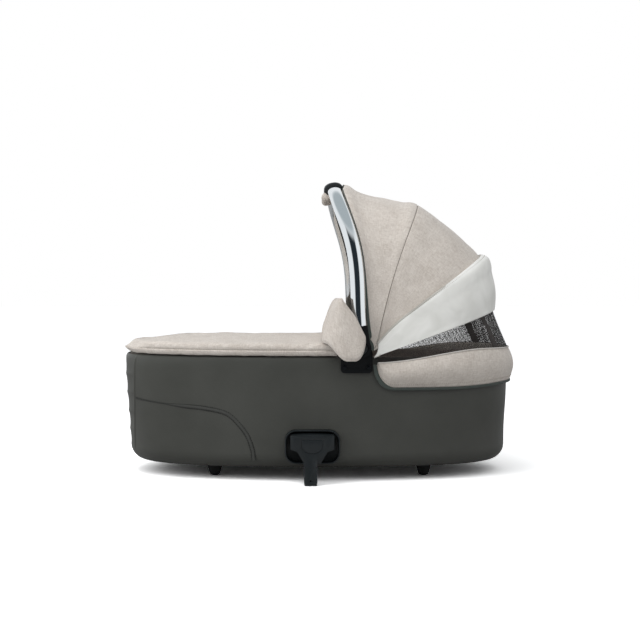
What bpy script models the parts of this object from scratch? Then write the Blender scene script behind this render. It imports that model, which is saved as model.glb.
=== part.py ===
"""Carrycot with a folding hood, on its rubber feet, with pushchair adapters on both sides.

Metres, +Z up. +X runs from the foot end to the head end, -Y is the baby's left side.
The origin is on the floor, under the middle of the overall length and width.
"""
import math

import bmesh
import bpy
import numpy as np
from mathutils import Matrix, Vector

# Clearances and general
GAP = 0.0003
OVERRUN = 0.004
SMOOTH_ANGLE = math.radians(35)

# Tub: a padded leatherette shell, long sides bowed, ends rounded
TUB_FOOT_TOP_X = -0.4069
TUB_FOOT_BOTTOM_X = -0.3975
TUB_HEAD_TOP_X = 0.3945
TUB_HEAD_BOTTOM_X = 0.3905
TUB_HALF_WIDTH_TOP = 0.2150
TUB_SIDE_TAPER = 0.0080
TUB_EXPONENT_TOP = 3.4
TUB_EXPONENT_BOTTOM = 2.5
TUB_BOTTOM_Z = 0.0260
TUB_RIM_Z = 0.2466
TUB_FOOT_RISE = 0.0040
TUB_WALL = 0.0080
TUB_BOTTOM_RADIUS = 0.0300
FOOT_PANEL_HALF_WIDTH = 0.1210
FOOT_PANEL_RIPPLE = 0.0016
FOOT_PANEL_RIPPLE_PITCH = 0.0780
TUB_SEGMENTS = 44
TUB_SIDE_RINGS = 10
TUB_ARC_RINGS = 4

# Rim frame: aluminium tube inside the top edge of the shell
RIM_TUBE_RADIUS = 0.0070
RIM_TUBE_DROP = 0.0072
RIM_TUBE_SIDES = 8

# Base board, lining and mattress
BOARD_THICKNESS = 0.0060
BOARD_INSET = 0.0340
LINER_THICKNESS = 0.0020
LINER_RIM_DROP = 0.0010
LINER_BOTTOM_RADIUS = 0.0200
LINER_SIDE_RINGS = 4
MATTRESS_THICKNESS = 0.0380
MATTRESS_CROWN = 0.0090
MATTRESS_EDGE_RADIUS = 0.0150
MATTRESS_SIDE_CLEARANCE = 0.0040
MATTRESS_DRAW_IN = 0.0050
MATTRESS_EDGE_SHARES = ((1.0, 0.0), (0.3, 0.08), (0.0, 0.35), (0.15, 0.55), (0.0, 0.75), (0.5, 1.0))
MATTRESS_CROWN_SHARES = (0.35, 0.7)

# Rubber feet
FOOT_SPAN_X = 0.4280
FOOT_SPAN_Y = 0.2200
FOOT_TOP_RADIUS = 0.0165
FOOT_BOTTOM_RADIUS = 0.0095
FOOT_SEGMENTS = 24

# Pushchair adapter: housing let into the side, T-shaped arm with a leg, release button
ADAPTER_X = -0.0130
HOUSING_WIDTH = 0.1090
HOUSING_BOTTOM_Z = 0.0370
HOUSING_TOP_Z = 0.1040
HOUSING_CORNER_RADIUS = 0.0220
HOUSING_WALL = 0.0030
HOUSING_DEPTH = 0.0300
HOUSING_PROUD = 0.0065
BLOCK_HALF_WIDTH = 0.0425
BLOCK_TOP_Z = 0.0975
BLOCK_CROWN = 0.0018
BLOCK_LOWER_Z = 0.0690
BLOCK_PROUD = 0.0285
NECK_BOTTOM_Z = 0.0400
LEG_HALF_WIDTH = 0.0130
LEG_TIP_HALF_WIDTH = 0.0118
LEG_TIP_Z = 0.0010
LEG_TIP_TAPER = 0.0060
LEG_TOP_Z = 0.0620
LEG_THICKNESS = 0.0140
LEG_FLARE = 0.0140
LEG_SHIFT_X = -0.0032
LEG_RING_SHARES = (0.3, 0.65)
NECK_SHARES = ((0.12, 0.10), (0.34, 0.50), (0.56, 0.85))
BLOCK_TOP_SHARES = (0.9, 0.5, 0.0, -0.5, -0.9)
LEG_HOLE_RADIUS = 0.0019
LEG_HOLE_Z = 0.0095
ADAPTER_BUTTON_HALF_WIDTH = 0.0205
ADAPTER_BUTTON_TOP_Z = 0.0870
ADAPTER_BUTTON_BOTTOM_Z = 0.0615
ADAPTER_BUTTON_THICKNESS = 0.0055
ADAPTER_BUTTON_PROUD = 0.0010
ADAPTER_BUTTON_TRAVEL = 0.0035
ADAPTER_BUTTON_SHOULDER_SHARE = 0.62
ADAPTER_BUTTON_STEPS = 12

# Hood hinge: all bows turn on one pin on each side
PIVOT_X = 0.0838
PIVOT_Z = 0.2650
PLATE_LEFT_X = 0.0425
PLATE_RIGHT_X = 0.1050
PLATE_BOTTOM_Z = 0.2156
PLATE_THICKNESS = 0.0040
PLATE_CORNER_RADIUS = 0.0080
HUB_RADIUS = 0.0180
PIN_RADIUS = 0.0040
PIN_HEAD_RADIUS = 0.0075
PIN_HEAD_THICKNESS = 0.0030
SCREW_LEFT_X = 0.0505
SCREW_RIGHT_X = 0.0975
SCREW_Z = 0.2270
SCREW_RADIUS = 0.0020
SCREW_HEAD_RADIUS = 0.0042
SCREW_HEAD_HEIGHT = 0.0020
SCREW_SEGMENTS = 16
EYELET_RADIUS = 0.0140
EYELET_THICKNESS = 0.0032
ROUND_SEGMENTS = 24

# Bows: flat strips inside the fabric
BOW_EXPONENT = 3.0
BOW_STRIP_WIDTH = 0.0120
BOW_STRIP_THICKNESS = 0.0030
BOW_STEPS = 34
ARCH_END_CROWDING_SHARE = 0.55
BOW_START_SHARE = 0.75
MIDDLE_BOW_ANGLE = math.radians(67.4)
MIDDLE_BOW_LEAD = 0.0036
REAR_BOW_ANGLE = math.radians(36.5)
REAR_BOW_RADIUS = 0.3085

# Handle: the front bow, a chrome oval tube with a sleeve grip
HANDLE_ANGLE = math.radians(99.4)
HANDLE_LEAD = 0.0219
HANDLE_BULGE = 0.0155
HANDLE_BULGE_SKEW_EXPONENT = 1.15
HANDLE_BULGE_END_EXPONENT = 1.8
HANDLE_TUBE_WIDTH = 0.0280
HANDLE_TUBE_THICKNESS = 0.0150
HANDLE_TUBE_START = 0.0300
HANDLE_STEPS = 40
HANDLE_SIDES = 12
GRIP_SIDES = 16
GRIP_WIDTH = 0.0385
GRIP_THICKNESS = 0.0260
GRIP_HALF_LENGTH = 0.0950
GRIP_STEPS = 7
GRIP_SHARE = 0.80
SOCKET_WALL = 0.0025
SOCKET_END = 0.0430
HUB_THICKNESS = 0.0168
HOOD_BUTTON_RADIUS = 0.0105
HOOD_BUTTON_THICKNESS = 0.0045
HOOD_BUTTON_PROUD = 0.0014
HOOD_BUTTON_TRAVEL = 0.0025

# Hood fabric
FABRIC_THICKNESS = 0.0016
FABRIC_STEPS = 30
CANOPY_FIRST_RADIUS = 0.0262
FABRIC_FIRST_RADIUS = 0.0310
FRONT_HEM_COVER = 0.0045
FRONT_HEM_OFFSET = 0.0152
FRONT_HEM_GRIP_OFFSET = 0.0212
FRONT_HEM_SWEEP = 0.0050
FRONT_HEM_SWEEP_END = 0.0600
MIDDLE_SEAM_COVER = 0.0094
REAR_SEAM_COVER = 0.0060
MIDDLE_SEAM_SWEEP = 0.0305
MIDDLE_SEAM_SWEEP_END = 0.2500
REAR_SEAM_SWEEP = 0.0220
REAR_SEAM_SWEEP_END = 0.1100
FRONT_PANEL_SAG = 0.0170
REAR_PANEL_SAG = 0.0075
PANEL_ROWS = 6
FLAP_FRONT_PROUD = 0.0135
FLAP_LOWER_ANGLE = math.radians(19.5)
FLAP_LOWER_OFFSET = 0.0245
FLAP_LOWER_DRAW_IN = 0.0195
FLAP_BULGE = 0.0050
FLAP_LEAD = 0.0015
FLAP_LOWER_THICKNESS = 0.0030
FLAP_WALL_FALL_SHARE = 0.6
FLAP_SIDE_PROUD = 0.0060
FLAP_ROWS = 6
NET_THICKNESS = 0.0010
NET_SAG = 0.0080
NET_ROWS = 6

# Skirt: the lower band of the hood, over the head end of the tub
SKIRT_CORNER_LENGTH = 0.0390
SKIRT_TOP_FRONT_Z = 0.2362
SKIRT_TOP_REAR_Z = 0.2625
SKIRT_TOP_RISE_LENGTH = 0.2200
SKIRT_BOTTOM_SIDE_Z = 0.1870
SKIRT_BOTTOM_REAR_Z = 0.1965
SKIRT_TOP_LEAD = 0.0050
SKIRT_BULGE = 0.0116
SKIRT_REAR_BULGE = 0.0086
SKIRT_BOTTOM_OFFSET = 0.0070
SKIRT_THICKNESS = 0.0030
SKIRT_CLEARANCE = 0.0018
SKIRT_END_HEIGHT = 0.0040
SKIRT_ROWS = 6
PIPING_RADIUS = 0.0030
PIPING_SIDES = 6

# Apron: padded cover over the foot part of the tub
APRON_FOOT_X = -0.4085
APRON_OVERHANG = 0.0030
APRON_END_X = 0.0360
APRON_RIDGE_Z = 0.2745
APRON_CROWN_Z = 0.2890
APRON_RIDGE_INSET = 0.0100
APRON_THICKNESS = 0.0080
APRON_BAND_BULGE = 0.0016
APRON_BAND_SHARES = ((0.0, 0.0), (1.0, 0.35), (0.4, 0.7))
APRON_RIDGE_SHARES = ((0.35, 0.93), (1.0, 1.0), (2.0, 0.95))
APRON_CROWN_SHARES = (0.35, 0.65, 0.88)

# Collar: windbreak at the head-side edge of the apron, with a wing on each side
COLLAR_HINGE_X = 0.0030
COLLAR_FOOT_X = 0.0100
COLLAR_LEAN = 0.0280
COLLAR_THICKNESS = 0.0160
COLLAR_TOP_Z = 0.3630
COLLAR_CORNER_RADIUS = 0.0400
COLLAR_WING_END_X = 0.0908
COLLAR_WING_END_Z = 0.2850
COLLAR_WING_END_RADIUS = 0.0208
COLLAR_WING_BOTTOM_Z = 0.2411
COLLAR_WING_BOTTOM_X = 0.0555
COLLAR_WING_TOP_DROP_X = 0.0440
COLLAR_WING_TOP_SLOPE_SHARE = 1.40
COLLAR_STEPS = 40
COLLAR_SIDES = 12
COLLAR_CROWDING_SHARE = 0.6
COLLAR_END_SHARE = 0.001
COLLAR_END_THICKNESS_SHARE = 0.3
COLLAR_TALL_EXPONENT = 0.6
COLLAR_THICK_EXPONENT = 0.7

# Values that follow from the ones above
SIDES = {"left": -1, "right": 1}
TUB_HALF_WIDTH_BOTTOM = TUB_HALF_WIDTH_TOP - TUB_SIDE_TAPER
HOUSING_FRONT_Y = TUB_HALF_WIDTH_TOP + HOUSING_PROUD
HOUSING_BACK_Y = HOUSING_FRONT_Y - HOUSING_DEPTH
BLOCK_FRONT_Y = HOUSING_FRONT_Y + BLOCK_PROUD
MIDDLE_BOW_RADIUS = REAR_BOW_RADIUS + MIDDLE_BOW_LEAD
HANDLE_RADIUS = MIDDLE_BOW_RADIUS + HANDLE_LEAD
FRONT_HEM_RADIUS = HANDLE_RADIUS + FRONT_HEM_COVER
SKIRT_TOP_RADIUS = REAR_BOW_RADIUS + SKIRT_TOP_LEAD
MIDDLE_SEAM_RADIUS = MIDDLE_BOW_RADIUS + MIDDLE_SEAM_COVER
REAR_SEAM_RADIUS = REAR_BOW_RADIUS + REAR_SEAM_COVER
FLAP_FRONT_RADIUS = REAR_SEAM_RADIUS + FLAP_FRONT_PROUD
FLAP_LOWER_RADIUS = REAR_SEAM_RADIUS - FLAP_LOWER_DRAW_IN
PLATE_INNER_Y = TUB_HALF_WIDTH_TOP + GAP
PLATE_OUTER_Y = PLATE_INNER_Y + PLATE_THICKNESS
REAR_EYELET_Y = PLATE_OUTER_Y + GAP
MIDDLE_EYELET_Y = REAR_EYELET_Y + EYELET_THICKNESS + GAP
HUB_INNER_Y = MIDDLE_EYELET_Y + EYELET_THICKNESS + GAP
HUB_OUTER_Y = HUB_INNER_Y + HUB_THICKNESS
REAR_BOW_HALF_WIDTH = REAR_EYELET_Y + EYELET_THICKNESS / 2
MIDDLE_BOW_HALF_WIDTH = MIDDLE_EYELET_Y + EYELET_THICKNESS / 2
HANDLE_HALF_WIDTH = HUB_INNER_Y + SOCKET_WALL + GAP + HANDLE_TUBE_THICKNESS / 2
HOOD_BUTTON_OUTER_Y = HUB_OUTER_Y + HOOD_BUTTON_PROUD
HOOD_BUTTON_INNER_Y = HOOD_BUTTON_OUTER_Y - HOOD_BUTTON_THICKNESS
HOOD_POCKET_FLOOR_Y = HOOD_BUTTON_INNER_Y - HOOD_BUTTON_TRAVEL - GAP
PIN_TIP_Y = HOOD_POCKET_FLOOR_Y - 2 * HOOD_BUTTON_PROUD
FABRIC_INNER_HALF_WIDTH = MIDDLE_EYELET_Y + EYELET_THICKNESS + GAP
FABRIC_OUTER_HALF_WIDTH = FABRIC_INNER_HALF_WIDTH + FABRIC_THICKNESS
FLAP_INNER_HALF_WIDTH = FABRIC_OUTER_HALF_WIDTH + GAP
FLAP_OUTER_HALF_WIDTH = FLAP_INNER_HALF_WIDTH + FLAP_SIDE_PROUD
SOCKET_OUTER_Y = HANDLE_HALF_WIDTH + HANDLE_TUBE_THICKNESS / 2 + GAP + SOCKET_WALL
COLLAR_WING_Y = max(HOOD_BUTTON_OUTER_Y, SOCKET_OUTER_Y) + 2 * GAP + COLLAR_THICKNESS / 2
ADAPTER_BUTTON_OUTER_Y = BLOCK_FRONT_Y + ADAPTER_BUTTON_PROUD
ADAPTER_BUTTON_INNER_Y = ADAPTER_BUTTON_OUTER_Y - ADAPTER_BUTTON_THICKNESS
ADAPTER_POCKET_FLOOR_Y = ADAPTER_BUTTON_INNER_Y - ADAPTER_BUTTON_TRAVEL - GAP
FLOOR_INSIDE_Z = TUB_BOTTOM_Z + TUB_WALL
BOARD_BOTTOM_Z = FLOOR_INSIDE_Z + GAP
BOARD_TOP_Z = BOARD_BOTTOM_Z + BOARD_THICKNESS
LINER_OUTER_INSET = TUB_WALL + 2 * RIM_TUBE_RADIUS + 3 * GAP
LINER_BOTTOM_Z = BOARD_TOP_Z + GAP
MATTRESS_BOTTOM_Z = LINER_BOTTOM_Z + LINER_THICKNESS + GAP
PIVOT = Vector((PIVOT_X, 0.0, PIVOT_Z))
SKIRT_FRONT_X = PIVOT_X + FABRIC_FIRST_RADIUS


def smooth_step(value):
    """Rises smoothly from 0 to 1 as value goes from 0 to 1."""
    share = np.clip(value, 0.0, 1.0)
    return share * share * (3.0 - 2.0 * share)


def mix(start, end, share):
    """Straight blend between two values."""
    return start + (end - start) * share


def superellipse(half_length, half_width, exponent, segments):
    """Closed plan outline, counter-clockwise, as an array of x and y."""
    turn = np.linspace(0.0, 2.0 * math.pi, segments, endpoint=False)
    cosine, sine = np.cos(turn), np.sin(turn)
    x = half_length * np.sign(cosine) * np.abs(cosine) ** (2.0 / exponent)
    y = half_width * np.sign(sine) * np.abs(sine) ** (2.0 / exponent)
    return np.column_stack((x, y))


# Scene, collections, materials
def clear_scene():
    """Removes whatever the scene holds."""
    for thing in list(bpy.data.objects):
        bpy.data.objects.remove(thing, do_unlink=True)


def make_collection(name):
    """Adds a collection to the scene."""
    collection = bpy.data.collections.new(name)
    bpy.context.scene.collection.children.link(collection)
    return collection


def make_material(name, hex_colour, roughness, metallic=0.0):
    """Principled material from an sRGB hex colour."""
    material = bpy.data.materials.new(name)
    material.use_nodes = True
    shader = material.node_tree.nodes["Principled BSDF"]
    channels = [int(hex_colour[place:place + 2], 16) / 255 for place in (0, 2, 4)]
    linear = [c / 12.92 if c <= 0.04045 else ((c + 0.055) / 1.055) ** 2.4 for c in channels]
    shader.inputs["Base Color"].default_value = (*linear, 1.0)
    shader.inputs["Roughness"].default_value = roughness
    shader.inputs["Metallic"].default_value = metallic
    material.diffuse_color = (*linear, 1.0)
    return material


clear_scene()
PARTS = make_collection("carrycot")
CUTTERS = make_collection("cutters")


# Building blocks
def add_object(name, bm, material, smooth=True):
    """Puts a bmesh into a named object of the part, faces pointing out."""
    bmesh.ops.recalc_face_normals(bm, faces=bm.faces)
    mesh = bpy.data.meshes.new(name)
    bm.to_mesh(mesh)
    bm.free()
    if smooth:
        mesh.shade_smooth()
        mesh.set_sharp_from_angle(angle=SMOOTH_ANGLE)
    thing = bpy.data.objects.new(name, mesh)
    thing.data.materials.append(material)
    PARTS.objects.link(thing)
    return thing


def add_cutter(name, bm):
    """Puts a bmesh into a hidden cutting tool."""
    bmesh.ops.recalc_face_normals(bm, faces=bm.faces)
    mesh = bpy.data.meshes.new(name)
    bm.to_mesh(mesh)
    bm.free()
    thing = bpy.data.objects.new(name, mesh)
    thing.hide_render = True
    thing.display_type = "WIRE"
    CUTTERS.objects.link(thing)
    return thing


def boolean(thing, tool, operation="DIFFERENCE"):
    """Adds an exact Boolean to an object."""
    modifier = thing.modifiers.new(tool.name, "BOOLEAN")
    modifier.operation = operation
    modifier.solver = "EXACT"
    modifier.object = tool


def solidify(thing, thickness):
    """Gives an open surface its wall, on the inner side."""
    modifier = thing.modifiers.new("wall", "SOLIDIFY")
    modifier.thickness = thickness
    modifier.offset = -1.0
    modifier.use_even_offset = True


def bevel(thing, width, segments=2):
    """Rounds the sharp edges."""
    modifier = thing.modifiers.new("rounding", "BEVEL")
    modifier.width = width
    modifier.segments = segments
    modifier.limit_method = "ANGLE"
    modifier.angle_limit = SMOOTH_ANGLE


def loft(rings, capped=True, closed_path=False):
    """Joins closed rings of points, each an (n, 3) array, into one skin."""
    bm = bmesh.new()
    rows = [[bm.verts.new(point) for point in ring] for ring in rings]
    pairs = list(zip(rows, rows[1:]))
    if closed_path:
        pairs.append((rows[-1], rows[0]))
    for lower, upper in pairs:
        for place in range(len(lower)):
            after = (place + 1) % len(lower)
            bm.faces.new((lower[place], lower[after], upper[after], upper[place]))
    if capped and not closed_path:
        bm.faces.new(rows[0])
        bm.faces.new(rows[-1])
    return bm


def slab(outer, inner):
    """Closes two grids of points, each rows by columns by 3, into one thin solid."""
    rings = [np.concatenate((outer[:, column], inner[::-1, column])) for column in range(outer.shape[1])]
    return loft(rings)


def prism(outline, low, high, axis="Y", side=1):
    """Extrudes an outline of (x, z) along Y, or of (x, y) along Z, from low to high."""
    rings = []
    for level in (low, high):
        if axis == "Y":
            rings.append([(x, side * level, z) for x, z in outline])
        else:
            rings.append([(x, y, level) for x, y in outline])
    return loft(rings)


def cylinder_y(radius, low, high, x, z, side=1, segments=ROUND_SEGMENTS):
    """Round bar along Y."""
    bm = bmesh.new()
    bmesh.ops.create_cone(bm, cap_ends=True, segments=segments, radius1=radius, radius2=radius,
                          depth=high - low)
    middle = side * (low + high) / 2
    place = Matrix.Translation((x, middle, z)) @ Matrix.Rotation(math.pi / 2, 4, "X")
    bmesh.ops.transform(bm, matrix=place, verts=bm.verts)
    return bm


def rounded_rectangle(left, right, bottom, top, radius, steps=5):
    """Outline of a rectangle with round corners, counter-clockwise."""
    corners = ((right - radius, top - radius, 0.0), (left + radius, top - radius, 0.5),
               (left + radius, bottom + radius, 1.0), (right - radius, bottom + radius, 1.5))
    outline = []
    for x, z, turn_share in corners:
        for step in range(steps + 1):
            turn = math.pi * (turn_share + 0.5 * step / steps)
            outline.append((x + radius * math.cos(turn), z + radius * math.sin(turn)))
    return outline


def sweep(path, half_width, half_thickness, sides, across, closed_path=False, square=False):
    """Rings of an oval or square section along a path; across is the width's direction at each point."""
    path = np.asarray(path)
    if closed_path:
        ahead, behind = np.roll(path, -1, axis=0), np.roll(path, 1, axis=0)
    else:
        ahead, behind = np.vstack((path[1:], path[-1:])), np.vstack((path[:1], path[:-1]))
    tangent = ahead - behind
    tangent /= np.linalg.norm(tangent, axis=1)[:, None]
    width_way = across - (across * tangent).sum(axis=1)[:, None] * tangent
    width_way /= np.linalg.norm(width_way, axis=1)[:, None]
    thickness_way = np.cross(tangent, width_way)
    turn = np.linspace(0.0, 2.0 * math.pi, sides, endpoint=False)
    if square:
        turn = math.pi * np.array((0.25, 0.75, 1.25, 1.75))
        wide, thick = np.sign(np.cos(turn)), np.sign(np.sin(turn))
    else:
        wide, thick = np.cos(turn), np.sin(turn)
    return [point + half_width * wide[:, None] * w + half_thickness * thick[:, None] * t
            for point, w, t in zip(path, width_way, thickness_way)]


# Tub
def tub_sizes(height_share):
    """Centre, half length, half width and exponent of the tub's outline at a share of its height."""
    foot = mix(TUB_FOOT_BOTTOM_X, TUB_FOOT_TOP_X, height_share)
    head = mix(TUB_HEAD_BOTTOM_X, TUB_HEAD_TOP_X, height_share)
    width = mix(TUB_HALF_WIDTH_BOTTOM, TUB_HALF_WIDTH_TOP, height_share)
    exponent = mix(TUB_EXPONENT_BOTTOM, TUB_EXPONENT_TOP, smooth_step(height_share))
    return (foot + head) / 2, (head - foot) / 2, width, exponent


def tub_share(z):
    """Share of the tub's height at a level."""
    return min(max((z - TUB_BOTTOM_Z) / (TUB_RIM_Z - TUB_BOTTOM_Z), 0.0), 1.0)


def rim_rise(x):
    """How much higher the rim lies towards the foot end."""
    return TUB_FOOT_RISE * np.clip(x / TUB_FOOT_TOP_X, 0.0, 1.0) ** 2


def tub_ring(inset, z, ripple=0.0, segments=TUB_SEGMENTS):
    """Ring of the tub's form, drawn in by an inset, at a level."""
    share = tub_share(z)
    centre, half_length, half_width, exponent = tub_sizes(share)
    plan = superellipse(half_length - inset, half_width - inset, exponent, segments)
    x, y = plan[:, 0] + centre, plan[:, 1]
    on_panel = np.clip(1.0 - (y / FOOT_PANEL_HALF_WIDTH) ** 2, 0.0, 1.0) * (x < 0.0)
    wave = math.sin(2.0 * math.pi * (TUB_RIM_Z - z) / FOOT_PANEL_RIPPLE_PITCH)
    x = x - ripple * wave * on_panel
    return np.column_stack((x, y, z + rim_rise(x) * share ** 4))


def tub_rings(inset, rim_z, bottom_z, radius, side_rings, arc_rings, ripple=0.0):
    """Rings from the rim down the side and round the bottom edge."""
    levels = np.linspace(rim_z, bottom_z + radius, side_rings)
    rings = [tub_ring(inset, z, ripple) for z in levels]
    for step in range(1, arc_rings + 1):
        turn = 0.5 * math.pi * step / arc_rings
        drawn_in = inset + radius * (1.0 - math.cos(turn))
        rings.append(tub_ring(drawn_in, bottom_z + radius * (1.0 - math.sin(turn))))
    return rings


def open_cup(rings):
    """Skin of a cup, open at the first ring, closed flat at the last."""
    bm = loft(rings, capped=False)
    bm.verts.ensure_lookup_table()
    count = len(rings[0])
    bm.faces.new(bm.verts[-count:])
    return bm


def build_tub(leatherette, aluminium, board, lining, quilt):
    """The padded shell, its rim frame, base board, lining and mattress."""
    shell = add_object("tub_shell", open_cup(tub_rings(0.0, TUB_RIM_Z, TUB_BOTTOM_Z, TUB_BOTTOM_RADIUS,
                                                       TUB_SIDE_RINGS, TUB_ARC_RINGS, FOOT_PANEL_RIPPLE)),
                       leatherette)
    solidify(shell, TUB_WALL)
    frame_inset = TUB_WALL + GAP + RIM_TUBE_RADIUS
    frame_path = tub_ring(frame_inset, TUB_RIM_Z - RIM_TUBE_DROP)
    up = np.tile((0.0, 0.0, 1.0), (len(frame_path), 1))
    add_object("rim_frame", loft(sweep(frame_path, RIM_TUBE_RADIUS, RIM_TUBE_RADIUS, RIM_TUBE_SIDES, up, True),
                                 closed_path=True), aluminium)
    board_outline = tub_ring(BOARD_INSET, BOARD_BOTTOM_Z)[:, :2]
    add_object("base_board", prism(board_outline, BOARD_BOTTOM_Z, BOARD_TOP_Z, "Z"), board)
    liner = add_object("inner_lining", open_cup(tub_rings(LINER_OUTER_INSET, TUB_RIM_Z - LINER_RIM_DROP,
                                                          LINER_BOTTOM_Z, LINER_BOTTOM_RADIUS,
                                                          LINER_SIDE_RINGS, TUB_ARC_RINGS)), lining)
    solidify(liner, LINER_THICKNESS)
    add_object("mattress", build_mattress(), quilt)
    return shell


def build_mattress():
    """Crowned cushion on the lining's floor, its sides drawn in at mid height."""
    inset = LINER_OUTER_INSET + LINER_THICKNESS + MATTRESS_SIDE_CLEARANCE
    top = MATTRESS_BOTTOM_Z + MATTRESS_THICKNESS
    rings = []
    for inset_share, height_share in MATTRESS_EDGE_SHARES:
        edge = inset + MATTRESS_EDGE_RADIUS * inset_share + MATTRESS_DRAW_IN * (1.0 - inset_share)
        rings.append(tub_ring(edge, mix(MATTRESS_BOTTOM_Z, top, height_share)))
    edge_ring = rings[-1]
    for crown_share in MATTRESS_CROWN_SHARES:
        ring = edge_ring.copy()
        centre = ring[:, :2].mean(axis=0)
        ring[:, :2] = mix(ring[:, :2], centre, crown_share)
        ring[:, 2] = top + MATTRESS_CROWN * math.sin(0.5 * math.pi * crown_share)
        rings.append(ring)
    return loft(rings)


def build_feet(rubber):
    """Four tapered rubber feet under the tub."""
    height = TUB_BOTTOM_Z - GAP
    for end, along in (("foot_end", -1), ("head_end", 1)):
        for side_name, side in SIDES.items():
            bm = bmesh.new()
            bmesh.ops.create_cone(bm, cap_ends=True, segments=FOOT_SEGMENTS, radius1=FOOT_BOTTOM_RADIUS,
                                  radius2=FOOT_TOP_RADIUS, depth=height)
            foot = add_object(f"rubber_foot_{end}_{side_name}", bm, rubber)
            foot.location = (along * FOOT_SPAN_X / 2, side * FOOT_SPAN_Y / 2, height / 2)


# Pushchair adapters
def adapter_outline():
    """Front view of the T-shaped block with its neck, as (x, z) from the adapter's centre line."""
    neck_half = LEG_HALF_WIDTH + GAP
    right = [(neck_half, NECK_BOTTOM_Z)]
    for width_share, height_share in NECK_SHARES:
        right.append((mix(neck_half, BLOCK_HALF_WIDTH, width_share),
                      mix(NECK_BOTTOM_Z, BLOCK_LOWER_Z, height_share)))
    right += [(BLOCK_HALF_WIDTH, BLOCK_LOWER_Z), (BLOCK_HALF_WIDTH, BLOCK_TOP_Z - BLOCK_CROWN)]
    top = [(BLOCK_HALF_WIDTH * share, BLOCK_TOP_Z - BLOCK_CROWN * share * share) for share in BLOCK_TOP_SHARES]
    left = [(-x, z) for x, z in reversed(right)]
    shift = [LEG_SHIFT_X * (z == NECK_BOTTOM_Z) for _, z in right + top + left]
    return [(ADAPTER_X + x + move, z) for (x, z), move in zip(right + top + left, shift)]


def leg_rings(side):
    """Leg of the adapter: level rings, leaning outwards towards the tip."""
    rings = []
    tip_z = LEG_TIP_Z + LEG_TIP_TAPER
    between = [mix(tip_z, LEG_TOP_Z, share) for share in LEG_RING_SHARES]
    for z in (LEG_TIP_Z, tip_z, *between, LEG_TOP_Z):
        half = LEG_TIP_HALF_WIDTH if z == LEG_TIP_Z else LEG_HALF_WIDTH
        lean = LEG_FLARE * (LEG_TOP_Z - z) / (LEG_TOP_Z - LEG_TIP_Z)
        front = BLOCK_FRONT_Y - GAP + lean
        back = front - LEG_THICKNESS
        middle = ADAPTER_X + LEG_SHIFT_X
        rings.append([(middle - half, side * back, z), (middle + half, side * back, z),
                      (middle + half, side * front, z), (middle - half, side * front, z)])
    return rings


def button_outline(clearance):
    """Release button: flat top, round lower edge."""
    half = ADAPTER_BUTTON_HALF_WIDTH + clearance
    top, bottom = ADAPTER_BUTTON_TOP_Z + clearance, ADAPTER_BUTTON_BOTTOM_Z - clearance
    shoulder = mix(bottom, top, ADAPTER_BUTTON_SHOULDER_SHARE)
    outline = [(ADAPTER_X + half, top), (ADAPTER_X - half, top)]
    for step in range(ADAPTER_BUTTON_STEPS + 1):
        turn = math.pi * (1.0 + step / ADAPTER_BUTTON_STEPS)
        outline.append((ADAPTER_X + half * math.cos(turn), shoulder + (shoulder - bottom) * math.sin(turn)))
    return outline


def build_adapter(side_name, side, shell, plastic, button_plastic):
    """Housing let into the shell, the arm with its leg, and the release button."""
    left, right = ADAPTER_X - HOUSING_WIDTH / 2, ADAPTER_X + HOUSING_WIDTH / 2
    outline = rounded_rectangle(left, right, HOUSING_BOTTOM_Z, HOUSING_TOP_Z, HOUSING_CORNER_RADIUS)
    hole = rounded_rectangle(left - GAP, right + GAP, HOUSING_BOTTOM_Z - GAP, HOUSING_TOP_Z + GAP,
                             HOUSING_CORNER_RADIUS + GAP)
    pocket = rounded_rectangle(left + HOUSING_WALL, right - HOUSING_WALL, HOUSING_BOTTOM_Z + HOUSING_WALL,
                               HOUSING_TOP_Z - HOUSING_WALL, HOUSING_CORNER_RADIUS - HOUSING_WALL)
    boolean(shell, add_cutter(f"shell_hole_{side_name}",
                              prism(hole, HOUSING_BACK_Y - 4 * OVERRUN, HOUSING_FRONT_Y + OVERRUN, side=side)))
    housing = add_object(f"adapter_housing_{side_name}",
                         prism(outline, HOUSING_BACK_Y, HOUSING_FRONT_Y, side=side), plastic)
    floor_y = HOUSING_BACK_Y + HOUSING_WALL
    boolean(housing, add_cutter(f"housing_pocket_{side_name}",
                                prism(pocket, floor_y, HOUSING_FRONT_Y + OVERRUN, side=side)))
    arm = add_object(f"adapter_arm_{side_name}", prism(adapter_outline(), floor_y + GAP, BLOCK_FRONT_Y, side=side),
                     plastic)
    boolean(arm, add_cutter(f"arm_leg_{side_name}", loft(leg_rings(side))), "UNION")
    boolean(arm, add_cutter(f"neck_relief_{side_name}", neck_relief(side)))
    boolean(arm, add_cutter(f"button_pocket_{side_name}",
                            prism(button_outline(GAP), ADAPTER_POCKET_FLOOR_Y, BLOCK_FRONT_Y + OVERRUN, side=side)))
    boolean(arm, add_cutter(f"leg_hole_{side_name}",
                            cylinder_y(LEG_HOLE_RADIUS, BLOCK_FRONT_Y - LEG_THICKNESS, BLOCK_FRONT_Y + LEG_THICKNESS
                                       + OVERRUN, ADAPTER_X + LEG_SHIFT_X, LEG_HOLE_Z, side, SCREW_SEGMENTS)))
    button = add_object(f"adapter_button_{side_name}",
                        prism(button_outline(0.0), ADAPTER_BUTTON_INNER_Y, ADAPTER_BUTTON_OUTER_Y, side=side),
                        button_plastic)
    bevel(button, ADAPTER_BUTTON_PROUD / 2, 1)


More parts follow.
